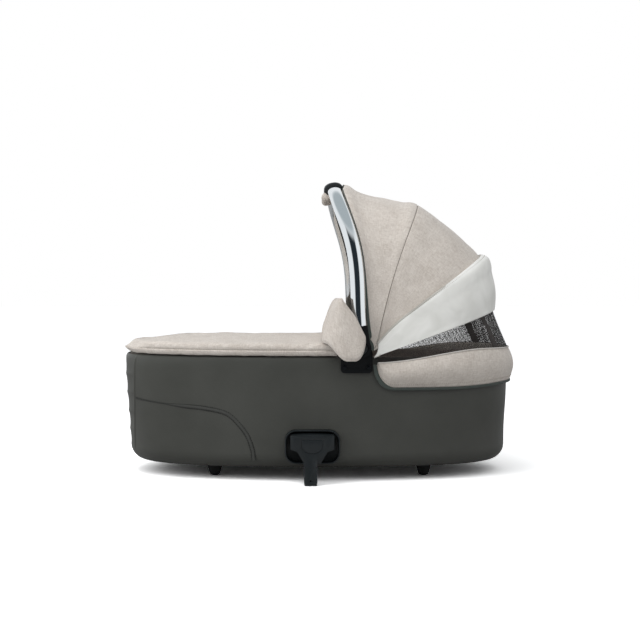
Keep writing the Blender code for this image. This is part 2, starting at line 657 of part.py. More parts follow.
def neck_relief(side):
    """Cuts the lower part of the block back to the housing's front, so that only the neck hangs there."""
    half = BLOCK_HALF_WIDTH + OVERRUN
    low, high = NECK_BOTTOM_Z - 2 * OVERRUN, BLOCK_LOWER_Z
    front = BLOCK_FRONT_Y - LEG_THICKNESS
    left, right = ADAPTER_X - half, ADAPTER_X + half
    outline = [(left, low), (right, low), (right, high), (left, high)]
    return prism(outline, HOUSING_BACK_Y, front, side=side)


# Hood hinge
def build_hinge(side_name, side, shell, plastic, steel, button_plastic):
    """Plate screwed to the tub, the pin, the handle's hub with its socket, and the release button."""
    def bar(radius, low, high, x=PIVOT_X, z=PIVOT_Z, segments=ROUND_SEGMENTS):
        return cylinder_y(radius, low, high, x, z, side, segments)

    lower = rounded_rectangle(PLATE_LEFT_X, PLATE_RIGHT_X, PLATE_BOTTOM_Z, PIVOT_Z, PLATE_CORNER_RADIUS)
    plate = add_object(f"hinge_plate_{side_name}", prism(lower, PLATE_INNER_Y, PLATE_OUTER_Y, side=side), plastic)
    disc = bar(HUB_RADIUS, PLATE_INNER_Y, PLATE_OUTER_Y)
    boolean(plate, add_cutter(f"plate_disc_{side_name}", disc), "UNION")
    boolean(plate, add_cutter(f"plate_pin_hole_{side_name}",
                              bar(PIN_RADIUS + GAP, PLATE_INNER_Y - OVERRUN, PLATE_OUTER_Y + OVERRUN)))
    for number, x in enumerate((SCREW_LEFT_X, SCREW_RIGHT_X), start=1):
        reach = PLATE_INNER_Y - 2 * TUB_WALL
        hole = add_cutter(f"screw_hole_{side_name}_{number}",
                          bar(SCREW_RADIUS + GAP, reach, PLATE_OUTER_Y + OVERRUN, x, SCREW_Z, SCREW_SEGMENTS))
        boolean(plate, hole)
        boolean(shell, hole)
        screw = add_object(f"hinge_screw_{side_name}_{number}",
                           bar(SCREW_RADIUS, PLATE_INNER_Y - TUB_WALL, PLATE_OUTER_Y + SCREW_HEAD_HEIGHT / 2,
                               x, SCREW_Z, SCREW_SEGMENTS), steel)
        head = bar(SCREW_HEAD_RADIUS, PLATE_OUTER_Y + GAP, PLATE_OUTER_Y + GAP + SCREW_HEAD_HEIGHT,
                   x, SCREW_Z, SCREW_SEGMENTS)
        boolean(screw, add_cutter(f"screw_head_{side_name}_{number}", head), "UNION")
    pin = add_object(f"hinge_pin_{side_name}", bar(PIN_RADIUS, PLATE_INNER_Y - PIN_HEAD_THICKNESS, PIN_TIP_Y), steel)
    boolean(pin, add_cutter(f"pin_head_{side_name}", bar(PIN_HEAD_RADIUS, PLATE_INNER_Y - GAP - PIN_HEAD_THICKNESS,
                                                         PLATE_INNER_Y - GAP)), "UNION")
    hub = add_object(f"handle_hub_{side_name}", bar(HUB_RADIUS, HUB_INNER_Y, HUB_OUTER_Y), plastic)
    boolean(hub, add_cutter(f"hub_socket_{side_name}", socket_block(side)), "UNION")
    boolean(hub, add_cutter(f"hub_tube_pocket_{side_name}", tube_pocket(side)))
    boolean(hub, add_cutter(f"hub_pin_hole_{side_name}",
                            bar(PIN_RADIUS + GAP, HUB_INNER_Y - OVERRUN, PIN_TIP_Y + GAP)))
    boolean(hub, add_cutter(f"hub_button_pocket_{side_name}",
                            bar(HOOD_BUTTON_RADIUS + GAP, HOOD_POCKET_FLOOR_Y, HUB_OUTER_Y + OVERRUN)))
    button = add_object(f"hood_button_{side_name}",
                        bar(HOOD_BUTTON_RADIUS, HOOD_BUTTON_INNER_Y, HOOD_BUTTON_OUTER_Y), button_plastic)
    bevel(button, HOOD_BUTTON_PROUD / 2, 1)


def bow_frame(angle):
    """Directions of a bow's plane: outwards from the pivot, and square to it towards the head."""
    return (Vector((math.cos(angle), 0.0, math.sin(angle))), Vector((math.sin(angle), 0.0, -math.cos(angle))))


def socket_block(side):
    """Oval-ended block that takes the handle tube."""
    outward, across = bow_frame(HANDLE_ANGLE)
    half = HANDLE_TUBE_WIDTH / 2 + GAP + SOCKET_WALL
    rings = []
    for level in (HUB_INNER_Y + GAP, SOCKET_OUTER_Y):
        ring = []
        for along, square in ((0.0, -half), (SOCKET_END, -half), (SOCKET_END, half), (0.0, half)):
            point = PIVOT + outward * along + across * square
            ring.append((point.x, side * level, point.z))
        rings.append(ring)
    return loft(rings)


def tube_pocket(side):
    """Space for the tube's end in the socket, a clearance larger than the tube."""
    start = HANDLE_TUBE_START - GAP
    path = np.array([handle_point(radius, side) for radius in (start, mix(start, SOCKET_END, 0.5),
                                                              SOCKET_END + OVERRUN)])
    across = np.tile(bow_frame(HANDLE_ANGLE)[1], (len(path), 1))
    return loft(sweep(path, HANDLE_TUBE_WIDTH / 2 + GAP, HANDLE_TUBE_THICKNESS / 2 + GAP, HANDLE_SIDES,
                      across))


# Bows and handle
def arch(radius, half_width, first_radius, steps):
    """Distance from the pivot and y along an arch from left to right, with closer steps near its ends."""
    first = math.asin((first_radius / radius) ** (BOW_EXPONENT / 2.0))
    even = np.linspace(0.0, 1.0, steps)
    share = mix(even, 0.5 - 0.5 * np.cos(math.pi * even), ARCH_END_CROWDING_SHARE)
    turn = mix(first, math.pi - first, share)
    away = radius * np.sin(turn) ** (2.0 / BOW_EXPONENT)
    y = -half_width * np.sign(np.cos(turn)) * np.abs(np.cos(turn)) ** (2.0 / BOW_EXPONENT)
    return away, y


def handle_bulge(away):
    """How far the handle's tube lies from its straight plane, towards the head."""
    share = np.clip(away / HANDLE_RADIUS, 0.0, 1.0) ** HANDLE_BULGE_SKEW_EXPONENT
    return HANDLE_BULGE * np.clip(np.sin(math.pi * share), 0.0, 1.0) ** HANDLE_BULGE_END_EXPONENT


def handle_point(away, side):
    """Point on the handle's leg at a distance from the pivot."""
    outward, across = bow_frame(HANDLE_ANGLE)
    share = 1.0 - (away / HANDLE_RADIUS) ** BOW_EXPONENT
    point = PIVOT + outward * away + across * float(handle_bulge(away))
    return (point.x, side * HANDLE_HALF_WIDTH * share ** (1.0 / BOW_EXPONENT), point.z)


def arch_path(angle, away, y, bulge=0.0):
    """Points of an arch in the plane at an angle about the pivot."""
    outward, across = bow_frame(angle)
    path = np.outer(away, outward) + np.outer(np.ones_like(away) * bulge, across) + np.array(PIVOT)
    path[:, 1] = y
    return path


def build_handle(chrome, rubber):
    """Oval chrome tube over the hood's front, with its sleeve grip."""
    away, y = arch(HANDLE_RADIUS, HANDLE_HALF_WIDTH, HANDLE_TUBE_START, HANDLE_STEPS)
    path = arch_path(HANDLE_ANGLE, away, y, handle_bulge(away))
    across = np.tile(bow_frame(HANDLE_ANGLE)[1], (len(path), 1))
    add_object("handle_tube", loft(sweep(path, HANDLE_TUBE_WIDTH / 2, HANDLE_TUBE_THICKNESS / 2, HANDLE_SIDES,
                                         across)), chrome)
    y = np.linspace(-GRIP_HALF_LENGTH, GRIP_HALF_LENGTH, GRIP_STEPS)
    away = HANDLE_RADIUS * (1.0 - np.abs(y / HANDLE_HALF_WIDTH) ** BOW_EXPONENT) ** (1.0 / BOW_EXPONENT)
    path = arch_path(HANDLE_ANGLE, away, y, handle_bulge(away))
    across = across[:len(path)]
    outer = sweep(path, GRIP_WIDTH / 2, GRIP_THICKNESS / 2, GRIP_SIDES, across)
    inner = sweep(path, HANDLE_TUBE_WIDTH / 2 + 2 * GAP, HANDLE_TUBE_THICKNESS / 2 + 2 * GAP, GRIP_SIDES,
                  across)
    add_object("handle_grip", loft(outer + inner[::-1], capped=False, closed_path=True), rubber)


def build_bow(name, angle, radius, half_width, steel):
    """Flat strip bow with an eyelet on the pin at each end."""
    away, y = arch(radius, half_width, EYELET_RADIUS * BOW_START_SHARE, BOW_STEPS)
    path = arch_path(angle, away, y)
    across = np.tile(bow_frame(angle)[1], (len(path), 1))
    strip = sweep(path, BOW_STRIP_WIDTH / 2, BOW_STRIP_THICKNESS / 2, 4, across, square=True)
    bow = add_object(name, loft(strip), steel)
    low, high = half_width - EYELET_THICKNESS / 2, half_width + EYELET_THICKNESS / 2
    for side_name, side in SIDES.items():
        eyelet = cylinder_y(EYELET_RADIUS, low, high, PIVOT_X, PIVOT_Z, side)
        boolean(bow, add_cutter(f"{name}_eyelet_{side_name}", eyelet), "UNION")
        hole = cylinder_y(PIN_RADIUS + GAP, low - OVERRUN, high + OVERRUN, PIVOT_X, PIVOT_Z, side)
        boolean(bow, add_cutter(f"{name}_hole_{side_name}", hole))


# Hood fabric
def hood_points(angle, away, y):
    """Points at angles about the pivot, at distances from it."""
    return np.stack((PIVOT_X + away * np.cos(angle), y, PIVOT_Z + away * np.sin(angle)), axis=-1)


def fabric_arch(half_width, first_radius=FABRIC_FIRST_RADIUS):
    """Share of the crown's distance, and y, for each step across the hood."""
    return arch(1.0, half_width, first_radius / SKIRT_TOP_RADIUS, FABRIC_STEPS)


def offset_angle(plane_angle, offset, away):
    """Angle about the pivot of a line that runs beside a bow's plane, an offset towards the head."""
    return plane_angle - np.arcsin(np.clip(offset / away, -1.0, 1.0))


def seam_sweep(size, end, away):
    """How far a seam swings off its bow's plane near the hub, where the seams run together."""
    return size * np.clip(1.0 - away / end, 0.0, 1.0) ** 2


def middle_seam(offset, arch_share):
    """Angles of a line beside the seam over the middle bow."""
    away = MIDDLE_SEAM_RADIUS * arch_share
    swept = offset + seam_sweep(MIDDLE_SEAM_SWEEP, MIDDLE_SEAM_SWEEP_END, away)
    return offset_angle(MIDDLE_BOW_ANGLE, swept, away)


def rear_seam(offset, arch_share):
    """Angles of a line beside the seam over the rear bow."""
    away = REAR_SEAM_RADIUS * arch_share
    return offset_angle(REAR_BOW_ANGLE, offset + seam_sweep(REAR_SEAM_SWEEP, REAR_SEAM_SWEEP_END, away), away)


def fabric_panel(name, material, crown_radius, edges, half_width, wall, side_wall, rows, first_radius):
    """Thin curved panel between two edges.

    crown_radius(share) is the outer distance from the pivot at the crown and wall(share) the thickness there;
    edges(arch_share) gives the angles of both edges; half_width and side_wall are the same at the sides.
    """
    grids = []
    for inside in (0.0, 1.0):
        arch_share, y = fabric_arch(half_width - inside * side_wall, first_radius)
        start, end = edges(arch_share)
        grid = []
        for share in np.linspace(0.0, 1.0, rows):
            away = (crown_radius(share) - inside * wall(share)) * arch_share
            grid.append(hood_points(mix(start, end, share), away, y))
        grids.append(np.array(grid))
    add_object(name, slab(grids[0], grids[1]), material)


def front_edges(arch_share):
    """Angles of the front panel's hem beside the handle, and of its seam."""
    away = HANDLE_RADIUS * arch_share
    at_grip = smooth_step((arch_share - GRIP_SHARE) / (1.0 - GRIP_SHARE))
    offset = mix(FRONT_HEM_OFFSET, FRONT_HEM_GRIP_OFFSET, at_grip) + handle_bulge(away)
    offset = offset + seam_sweep(FRONT_HEM_SWEEP, FRONT_HEM_SWEEP_END, away)
    return offset_angle(HANDLE_ANGLE, offset, away), middle_seam(-GAP, arch_share)


def rear_edges(arch_share):
    """Angles of the rear panel's two seams."""
    return middle_seam(GAP, arch_share), rear_seam(BOW_STRIP_WIDTH / 2, arch_share)


def flap_edges(arch_share):
    """Angles of the vent flap's front and lower edges."""
    lower = offset_angle(FLAP_LOWER_ANGLE, FLAP_LOWER_OFFSET, FLAP_LOWER_RADIUS * arch_share)
    return rear_seam(-FLAP_LEAD, arch_share), lower


def build_hood_fabric(fabric, lining, net):
    """Front and rear panels, the vent flap folded up, and the net behind it."""
    def front_crown(share):
        return mix(FRONT_HEM_RADIUS, MIDDLE_SEAM_RADIUS, share) - FRONT_PANEL_SAG * math.sin(math.pi * share)

    def rear_crown(share):
        return mix(MIDDLE_SEAM_RADIUS, REAR_SEAM_RADIUS, share) - REAR_PANEL_SAG * math.sin(math.pi * share)

    def flap_crown(share):
        return mix(FLAP_FRONT_RADIUS, FLAP_LOWER_RADIUS, share) + FLAP_BULGE * math.sin(math.pi * share)

    def fabric_wall(_):
        return FABRIC_THICKNESS

    def flap_wall(share):
        fallen = min(share / FLAP_WALL_FALL_SHARE, 1.0)
        return mix(FLAP_FRONT_RADIUS - REAR_SEAM_RADIUS - 2 * GAP, FLAP_LOWER_THICKNESS, fallen)

    fabric_panel("canopy_front", fabric, front_crown, front_edges, FABRIC_OUTER_HALF_WIDTH, fabric_wall,
                 FABRIC_THICKNESS, PANEL_ROWS, CANOPY_FIRST_RADIUS)
    fabric_panel("canopy_rear", fabric, rear_crown, rear_edges, FABRIC_OUTER_HALF_WIDTH, fabric_wall,
                 FABRIC_THICKNESS, PANEL_ROWS, CANOPY_FIRST_RADIUS)
    fabric_panel("vent_flap", lining, flap_crown, flap_edges, FLAP_OUTER_HALF_WIDTH, flap_wall,
                 FLAP_SIDE_PROUD, FLAP_ROWS, FABRIC_FIRST_RADIUS)
    build_net(net)


def skirt_plan(arch_share, y):
    """Distance from the pivot and direction of the hood's lower edge in plan."""
    x = SKIRT_TOP_RADIUS * arch_share
    return np.hypot(x, y), np.arctan2(y, x)


def skirt_top_z(x):
    """Level of the skirt's top edge, rising towards the head end."""
    rise = smooth_step((x - SKIRT_FRONT_X) / SKIRT_TOP_RISE_LENGTH)
    return mix(SKIRT_TOP_FRONT_Z, SKIRT_TOP_REAR_Z, rise)


def build_net(net):
    """Ventilation net from the rear bow down to the skirt."""
    grids = []
    for inward in (0.0, NET_THICKNESS):
        arch_share, y = fabric_arch(FABRIC_INNER_HALF_WIDTH - inward)
        top_away = (REAR_SEAM_RADIUS - FABRIC_THICKNESS - inward) * arch_share
        top_angle = rear_seam(BOW_STRIP_WIDTH / 2 + 2 * GAP, arch_share)
        x = (SKIRT_TOP_RADIUS - SKIRT_THICKNESS / 2 - inward) * arch_share
        z = skirt_top_z(PIVOT_X + SKIRT_TOP_RADIUS * arch_share) + 2 * GAP - PIVOT_Z
        low_away, low_angle = np.hypot(x, z), np.arctan2(z, x)
        grid = []
        for share in np.linspace(0.0, 1.0, NET_ROWS):
            sag = NET_SAG * math.sin(math.pi * share) * arch_share
            angle = mix(top_angle, low_angle, share)
            spread = (top_angle - low_angle) / 2
            chord = np.cos(spread) / np.cos(angle - (top_angle + low_angle) / 2)
            grid.append(hood_points(angle, mix(top_away, low_away, share) * chord - sag, y))
        grids.append(np.array(grid))
    add_object("vent_net", slab(grids[0], grids[1]), net)


def tub_distance(direction, z, inset=0.0):
    """Distance from the pivot's plan point to the tub's outline in a direction, by halving."""
    centre, half_length, half_width, exponent = tub_sizes(tub_share(z))
    low, high = 0.0, 2.0 * (half_length + half_width)
    for _ in range(40):
        middle = (low + high) / 2
        x = abs(PIVOT_X + middle * math.cos(direction) - centre) / (half_length - inset)
        y = abs(middle * math.sin(direction)) / (half_width - inset)
        if x ** exponent + y ** exponent < 1.0:
            low = middle
        else:
            high = middle
    return low


def skirt_section(arch_share, y):
    """Outer and inner points of the skirt at one place along it, bottom to top."""
    reach, direction = skirt_plan(arch_share, y)
    x = PIVOT_X + SKIRT_TOP_RADIUS * arch_share
    top = float(skirt_top_z(x))
    side_share = min((x - SKIRT_FRONT_X) / SKIRT_CORNER_LENGTH, 1.0)
    corner = math.sqrt(max(1.0 - (1.0 - max(side_share, 0.0)) ** 2, 0.0))
    full_bottom = mix(SKIRT_BOTTOM_SIDE_Z, SKIRT_BOTTOM_REAR_Z, float(smooth_step(arch_share ** 4)))
    bottom = mix(top - SKIRT_END_HEIGHT, full_bottom, corner)
    bulge = mix(SKIRT_BULGE, SKIRT_REAR_BULGE, float(smooth_step(arch_share ** 4))) * corner
    outer, inner = [], []
    for share in np.linspace(0.0, 1.0, SKIRT_ROWS):
        z = mix(bottom, top, share)
        tub = tub_distance(direction, min(z, TUB_RIM_Z))
        away = mix(tub + SKIRT_BOTTOM_OFFSET, reach, share) + bulge * math.sin(math.pi * share)
        back = away - SKIRT_THICKNESS
        if z < TUB_RIM_Z + SKIRT_THICKNESS:
            back = max(tub + SKIRT_CLEARANCE, back)
        away = max(away, back + SKIRT_THICKNESS)
        if share == 0.0:
            back = tub + SKIRT_CLEARANCE
        outer.append((PIVOT_X + away * math.cos(direction), away * math.sin(direction), z))
        inner.append((PIVOT_X + back * math.cos(direction), back * math.sin(direction), z))
    return outer, inner


def build_skirt(fabric, piping_material):
    """Lower band of the hood round the tub's head end, and the piping along its lower edge."""
    arch_shares, ys = fabric_arch(FABRIC_OUTER_HALF_WIDTH)
    rings, lower = [], []
    for arch_share, y in zip(arch_shares, ys):
        outer, inner = skirt_section(arch_share, y)
        rings.append(np.array(outer + inner[::-1]))
        lower.append((np.array(outer[0]) + np.array(inner[0])) / 2)
    add_object("hood_skirt", loft(rings), fabric)
    lower = np.array(lower)
    run = np.gradient(lower, axis=0)
    outward = lower * (1.0, 1.0, 0.0) - (PIVOT_X, 0.0, 0.0)
    down = np.cross(outward, run)
    down /= np.linalg.norm(down, axis=1)[:, None]
    down *= -np.sign(down[len(down) // 2, 2])
    path = lower + down * (PIPING_RADIUS + 2 * GAP)
    cord = loft(sweep(path, PIPING_RADIUS, PIPING_RADIUS, PIPING_SIDES, down))
    add_object("skirt_piping", cord, piping_material)


# Apron and collar
def build_apron(fabric):
    """Padded cover: a band over the rim, a ridge, and a gently crowned top, cut straight at its head side."""
    rings = []
    base_z = TUB_RIM_Z + GAP
    insets = [(-APRON_BAND_BULGE * share, height_share) for share, height_share in APRON_BAND_SHARES]
    insets += [(APRON_RIDGE_INSET * share, height_share) for share, height_share in APRON_RIDGE_SHARES]
    for inset, height_share in insets:
        rings.append(apron_ring(inset, mix(base_z, APRON_RIDGE_Z, height_share)))
    edge_ring = rings[-1]
    for share in APRON_CROWN_SHARES:
        ring = edge_ring.copy()
        ring[:, 0] = mix(ring[:, 0], ring[:, 0].mean(), share)
        ring[:, 1] = ring[:, 1] * (1.0 - share)
        rise = APRON_CROWN_Z - edge_ring[:, 2]
        ring[:, 2] = edge_ring[:, 2] + rise * math.sin(0.5 * math.pi * share / APRON_CROWN_SHARES[-1])
        rings.append(ring)
    apron = add_object("apron", open_cup(rings), fabric)
    solidify(apron, APRON_THICKNESS)
    head, reach = TUB_HEAD_TOP_X + OVERRUN, TUB_HALF_WIDTH_TOP + 2 * APRON_THICKNESS
    outline = [(APRON_END_X, -reach), (head, -reach), (head, reach), (APRON_END_X, reach)]
    boolean(apron, add_cutter("apron_end", prism(outline, TUB_BOTTOM_Z, APRON_CROWN_Z + OVERRUN, "Z")))


def apron_ring(inset, z):
    """Ring of the apron's outline, which overhangs the tub's rim."""
    centre, half_length, half_width, exponent = tub_sizes(1.0)
    overhang = TUB_FOOT_TOP_X - APRON_FOOT_X - APRON_BAND_BULGE
    plan = superellipse(half_length + overhang - inset, half_width + APRON_OVERHANG - inset, exponent,
                        TUB_SEGMENTS)
    x = plan[:, 0] + centre
    return np.column_stack((x, plan[:, 1], z + rim_rise(x)))


def apron_top(y):
    """Level of the apron's top under the collar, across the tub."""
    return mix(APRON_CROWN_Z, APRON_RIDGE_Z, (abs(y) / (TUB_HALF_WIDTH_TOP - APRON_RIDGE_INSET)) ** 2)


def collar_plan(share):
    """Plan point, direction and wing share at a share of the collar's length from left wing to right wing."""
    radius = COLLAR_CORNER_RADIUS
    half_front = COLLAR_WING_Y - radius
    wing = COLLAR_WING_END_X - COLLAR_FOOT_X - radius
    corner = radius * math.pi / 2
    total = 2.0 * (half_front + corner + wing)
    along = share * total
    mirror = 1.0
    if along > total / 2:
        along, mirror = total - along, -1.0
    if along < wing:
        point, tangent, wing_share = (COLLAR_WING_END_X - along, -COLLAR_WING_Y), (-1.0, 0.0), 1.0
    elif along < wing + corner:
        turn = (along - wing) / radius
        point = (COLLAR_FOOT_X + radius - radius * math.sin(turn), -half_front - radius * math.cos(turn))
        tangent, wing_share = (-math.cos(turn), math.sin(turn)), math.cos(turn)
    else:
        point, tangent, wing_share = (COLLAR_FOOT_X, -half_front + along - wing - corner), (0.0, 1.0), 0.0
    return point[0], point[1] * mirror, tangent[0] * mirror, tangent[1], wing_share


def collar_edges(x, y):
    """Lowest and highest level of the collar's wall at a plan point."""
    clears_apron = abs(y) - COLLAR_THICKNESS / 2 > TUB_HALF_WIDTH_TOP + APRON_OVERHANG + APRON_BAND_BULGE
    bottom = max(apron_top(y), APRON_RIDGE_Z) + 2 * GAP
    if clears_apron:
        fall = smooth_step((x - COLLAR_FOOT_X) / (COLLAR_WING_BOTTOM_X - COLLAR_FOOT_X))
        bottom = mix(bottom, COLLAR_WING_BOTTOM_Z, fall)
    top = COLLAR_TOP_Z - COLLAR_WING_TOP_SLOPE_SHARE * max(x - COLLAR_WING_TOP_DROP_X, 0.0)
    into_end = max(x - COLLAR_WING_END_X + COLLAR_WING_END_RADIUS, 0.0) / COLLAR_WING_END_RADIUS
    end = math.sqrt(max(1.0 - into_end ** 2, 0.0))
    return mix(COLLAR_WING_END_Z, bottom, end), mix(COLLAR_WING_END_Z, top, end), end


def build_collar(fabric):
    """Padded windbreak: a low wall across the apron, leaning to the head, with a wing down each side."""
    rings = []
    turn = np.linspace(0.0, 2.0 * math.pi, COLLAR_SIDES, endpoint=False)
    tall = np.sign(np.sin(turn)) * np.abs(np.sin(turn)) ** COLLAR_TALL_EXPONENT
    thick = np.sign(np.cos(turn)) * np.abs(np.cos(turn)) ** COLLAR_THICK_EXPONENT
    for step in range(COLLAR_STEPS + 1):
        even = step / COLLAR_STEPS
        share = mix(even, 0.5 - 0.5 * math.cos(math.pi * even), COLLAR_CROWDING_SHARE)
        along = mix(COLLAR_END_SHARE, 1.0 - COLLAR_END_SHARE, share)
        x, y, tangent_x, tangent_y, wing_share = collar_plan(along)
        bottom, top, end = collar_edges(x, y)
        height = max(top - bottom, COLLAR_THICKNESS / 4)
        wall = COLLAR_THICKNESS / 2 * max(end, COLLAR_END_THICKNESS_SHARE) * thick
        lean = COLLAR_LEAN * (1.0 - wing_share ** 3) * (tall + 1.0) / 2
        rings.append(np.column_stack((x + lean + wall * tangent_y, y - wall * tangent_x,
                                      (top + bottom + height * tall) / 2)))
    add_object("collar", loft(rings), fabric)


def move_origin(thing, point):
    """Puts an object's origin at a point and leaves its mesh where it is."""
    thing.data.transform(Matrix.Translation(thing.location - Vector(point)))
    thing.location = point


def set_origins():
    """Puts the origin of each moving piece on the axis it turns or slides on."""
    for name in ("rear_bow", "middle_bow", "handle_tube", "handle_grip", "handle_hub_left", "handle_hub_right",
                 "canopy_front", "canopy_rear", "vent_flap", "vent_net"):
        move_origin(PARTS.objects[name], PIVOT)
    move_origin(PARTS.objects["collar"], (COLLAR_HINGE_X, 0.0, APRON_CROWN_Z + GAP))
    adapter_button_z = (ADAPTER_BUTTON_TOP_Z + ADAPTER_BUTTON_BOTTOM_Z) / 2
    for side_name, side in SIDES.items():
        move_origin(PARTS.objects[f"hood_button_{side_name}"], (PIVOT_X, side * HOOD_BUTTON_OUTER_Y, PIVOT_Z))
        move_origin(PARTS.objects[f"adapter_button_{side_name}"],
                    (ADAPTER_X, side * ADAPTER_BUTTON_OUTER_Y, adapter_button_z))


def main():
    """Builds every piece of the carrycot."""
    leatherette = make_material("leatherette", "4c4d49", 0.55)
    woven = make_material("woven_fabric", "c9c1b7", 0.9)
    lining = make_material("lining_fabric", "d0d1cb", 0.85)
    net = make_material("vent_net", "2c2a29", 0.8)
    piping = make_material("piping", "4a504d", 0.8)
    plastic = make_material("black_plastic", "14171b", 0.45)
    button_plastic = make_material("button_plastic", "1d2126", 0.4)
    rubber = make_material("rubber", "101112", 0.8)
    chrome = make_material("chrome", "dfe3e4", 0.08, 1.0)
    steel = make_material("steel", "8f9294", 0.35, 1.0)
    aluminium = make_material("aluminium", "b9bcbe", 0.4, 1.0)
    board = make_material("board", "2b2d2e", 0.7)
    quilt = make_material("quilt", "e8e6e1", 0.9)

    shell = build_tub(leatherette, aluminium, board, lining, quilt)
    build_feet(rubber)
    for side_name, side in SIDES.items():
        build_adapter(side_name, side, shell, plastic, button_plastic)
        build_hinge(side_name, side, shell, plastic, steel, button_plastic)
    build_bow("rear_bow", REAR_BOW_ANGLE, REAR_BOW_RADIUS, REAR_BOW_HALF_WIDTH, steel)
    build_bow("middle_bow", MIDDLE_BOW_ANGLE, MIDDLE_BOW_RADIUS, MIDDLE_BOW_HALF_WIDTH, steel)
    build_handle(chrome, rubber)
    build_hood_fabric(woven, lining, net)
    build_skirt(woven, piping)
    build_apron(woven)
    build_collar(woven)
    set_origins()


main()
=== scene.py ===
"""Carrycot on its rubber feet with the hood up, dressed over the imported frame.

Metres, +Z up, +X from the foot end to the head end. The camera stands on the -Y side.
"""
import logging
import math
from contextlib import contextmanager
from dataclasses import dataclass
from enum import Enum
from typing import Any, Callable, Iterator, Sequence

import bmesh
import bpy
import numpy as np
from bpy.types import ID, Material, Node, NodeSocket, NodeTree, Object
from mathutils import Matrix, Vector


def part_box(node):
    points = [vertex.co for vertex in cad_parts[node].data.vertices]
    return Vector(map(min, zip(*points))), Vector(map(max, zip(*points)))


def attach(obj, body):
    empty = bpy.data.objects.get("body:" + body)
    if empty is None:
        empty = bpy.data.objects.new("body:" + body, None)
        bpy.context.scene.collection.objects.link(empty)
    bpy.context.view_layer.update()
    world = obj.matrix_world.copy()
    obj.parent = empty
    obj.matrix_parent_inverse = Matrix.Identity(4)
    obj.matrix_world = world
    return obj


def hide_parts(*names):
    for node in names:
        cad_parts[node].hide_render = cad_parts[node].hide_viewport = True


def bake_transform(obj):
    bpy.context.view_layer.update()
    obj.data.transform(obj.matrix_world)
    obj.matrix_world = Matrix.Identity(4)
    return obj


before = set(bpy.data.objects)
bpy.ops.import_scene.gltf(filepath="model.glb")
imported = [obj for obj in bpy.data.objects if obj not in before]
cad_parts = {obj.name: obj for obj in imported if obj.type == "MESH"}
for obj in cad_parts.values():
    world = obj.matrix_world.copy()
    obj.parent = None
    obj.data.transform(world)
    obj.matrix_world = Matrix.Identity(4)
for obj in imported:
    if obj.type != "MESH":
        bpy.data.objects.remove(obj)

LOG = logging.getLogger("carrycot")


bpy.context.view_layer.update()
SIDES: dict[str, int] = {"left": -1, "right": 1}
SEED = 7
TO_HEAD = np.array((1.0, 0.0, 0.0))
UP = np.array((0.0, 0.0, 1.0))
Values = float | np.ndarray


class Coords(Enum):
    """Which coordinates a finish's pattern follows."""

    OBJECT = "Object"
    CLOTH = "UV"


# Numbers and arrays
def linear(code: str) -> tuple[float, float, float, float]:
    """Turns an sRGB hex colour into linear RGBA.

    Args:
        code: six hex digits.

    Returns:
        The four channels, alpha 1.
    """
    channels = [int(code[place:place + 2], 16) / 255 for place in (0, 2, 4)]
    low = [c / 12.92 if c <= 0.04045 else ((c + 0.055) / 1.055) ** 2.4 for c in channels]
    return (low[0], low[1], low[2], 1.0)


def mix(start: Values, end: Values, share: Values) -> Values:
    """Straight blend between two values or arrays."""
    return start + (end - start) * share


def smooth(value: Values) -> Values:
    """Rises from 0 to 1 with level ends as value goes from 0 to 1."""
    share = np.clip(value, 0.0, 1.0)
    return share * share * (3.0 - 2.0 * share)


def bump_at(value: Values, centre: float, width: float) -> Values:
    """Bell of height 1 at centre: exp(-((value - centre) / width)^2)."""
    return np.exp(-((value - centre) / width) ** 2)


def signed_power(value: Values, power: float) -> Values:
    """The power of a value's size with the value's sign: sgn(v)|v|^power."""
    return np.sign(value) * np.abs(value) ** power


def evenly_round(count: int) -> np.ndarray:
    """Angles of places spaced evenly round a circle, from 0."""
    return np.linspace(0.0, 2.0 * math.pi, count, endpoint=False)


def superellipse(centre: float, half_length: float, half_width: float, power: float,
                 count: int) -> np.ndarray:
    """Plan places on |x/a|^n + |y/b|^n = 1, from the head end round by +Y.

    Args:
        centre: x of its centre, which lies on the X axis.
        half_length: a.
        half_width: b.
        power: n.
        count: number of places.

    Returns:
        (count, 2) places, the last one on the first.
    """
    turn = np.linspace(0.0, 2.0 * math.pi, count)
    return np.column_stack((half_length * signed_power(np.cos(turn), 2.0 / power) + centre,
                            half_width * signed_power(np.sin(turn), 2.0 / power)))


def corner_rows(inset: float, z: float, radius: float, steps: int) -> list[tuple[float, float]]:
    """Quarter circle from an upright wall to a level floor, as insets and levels after its first place."""
    return [(inset + radius * (1.0 - math.cos(turn)), z + radius * (1.0 - math.sin(turn)))
            for turn in np.linspace(0.0, 0.5 * math.pi, steps)[1:]]


def unit(vectors: np.ndarray) -> np.ndarray:
    """Vectors of length 1 in the same directions."""
    return vectors / np.maximum(np.linalg.norm(vectors, axis=-1, keepdims=True), 1e-12)


def grid_normals(points: np.ndarray, wrap: bool = False) -> np.ndarray:
    """Outward directions of a grid: the cross product of its two run directions.

    Args:
        points: (rows, columns, 3) places.
        wrap: True where the last column joins the first.

    Returns:
        (rows, columns, 3) directions of length 1.
    """
    if wrap:
        along = np.roll(points, -1, axis=1) - np.roll(points, 1, axis=1)
    else:
        along = np.gradient(points, axis=1)
    return unit(np.cross(along, np.gradient(points, axis=0)))


def arc_lengths(path: np.ndarray) -> np.ndarray:
    """Distance run along a path at each of its points, from 0."""
    steps = np.linalg.norm(np.diff(path, axis=0), axis=1)
    return np.concatenate(([0.0], np.cumsum(steps)))


def resample(path: np.ndarray, shares: np.ndarray) -> np.ndarray:
    """Points at shares of a path's length.

    Args:
        path: (n, k) points.
        shares: places along it, 0 to 1.

    Returns:
        (len(shares), k) points, straight between the given ones.
    """
    run = arc_lengths(path)
    return np.column_stack([np.interp(shares * run[-1], run, column) for column in path.T])


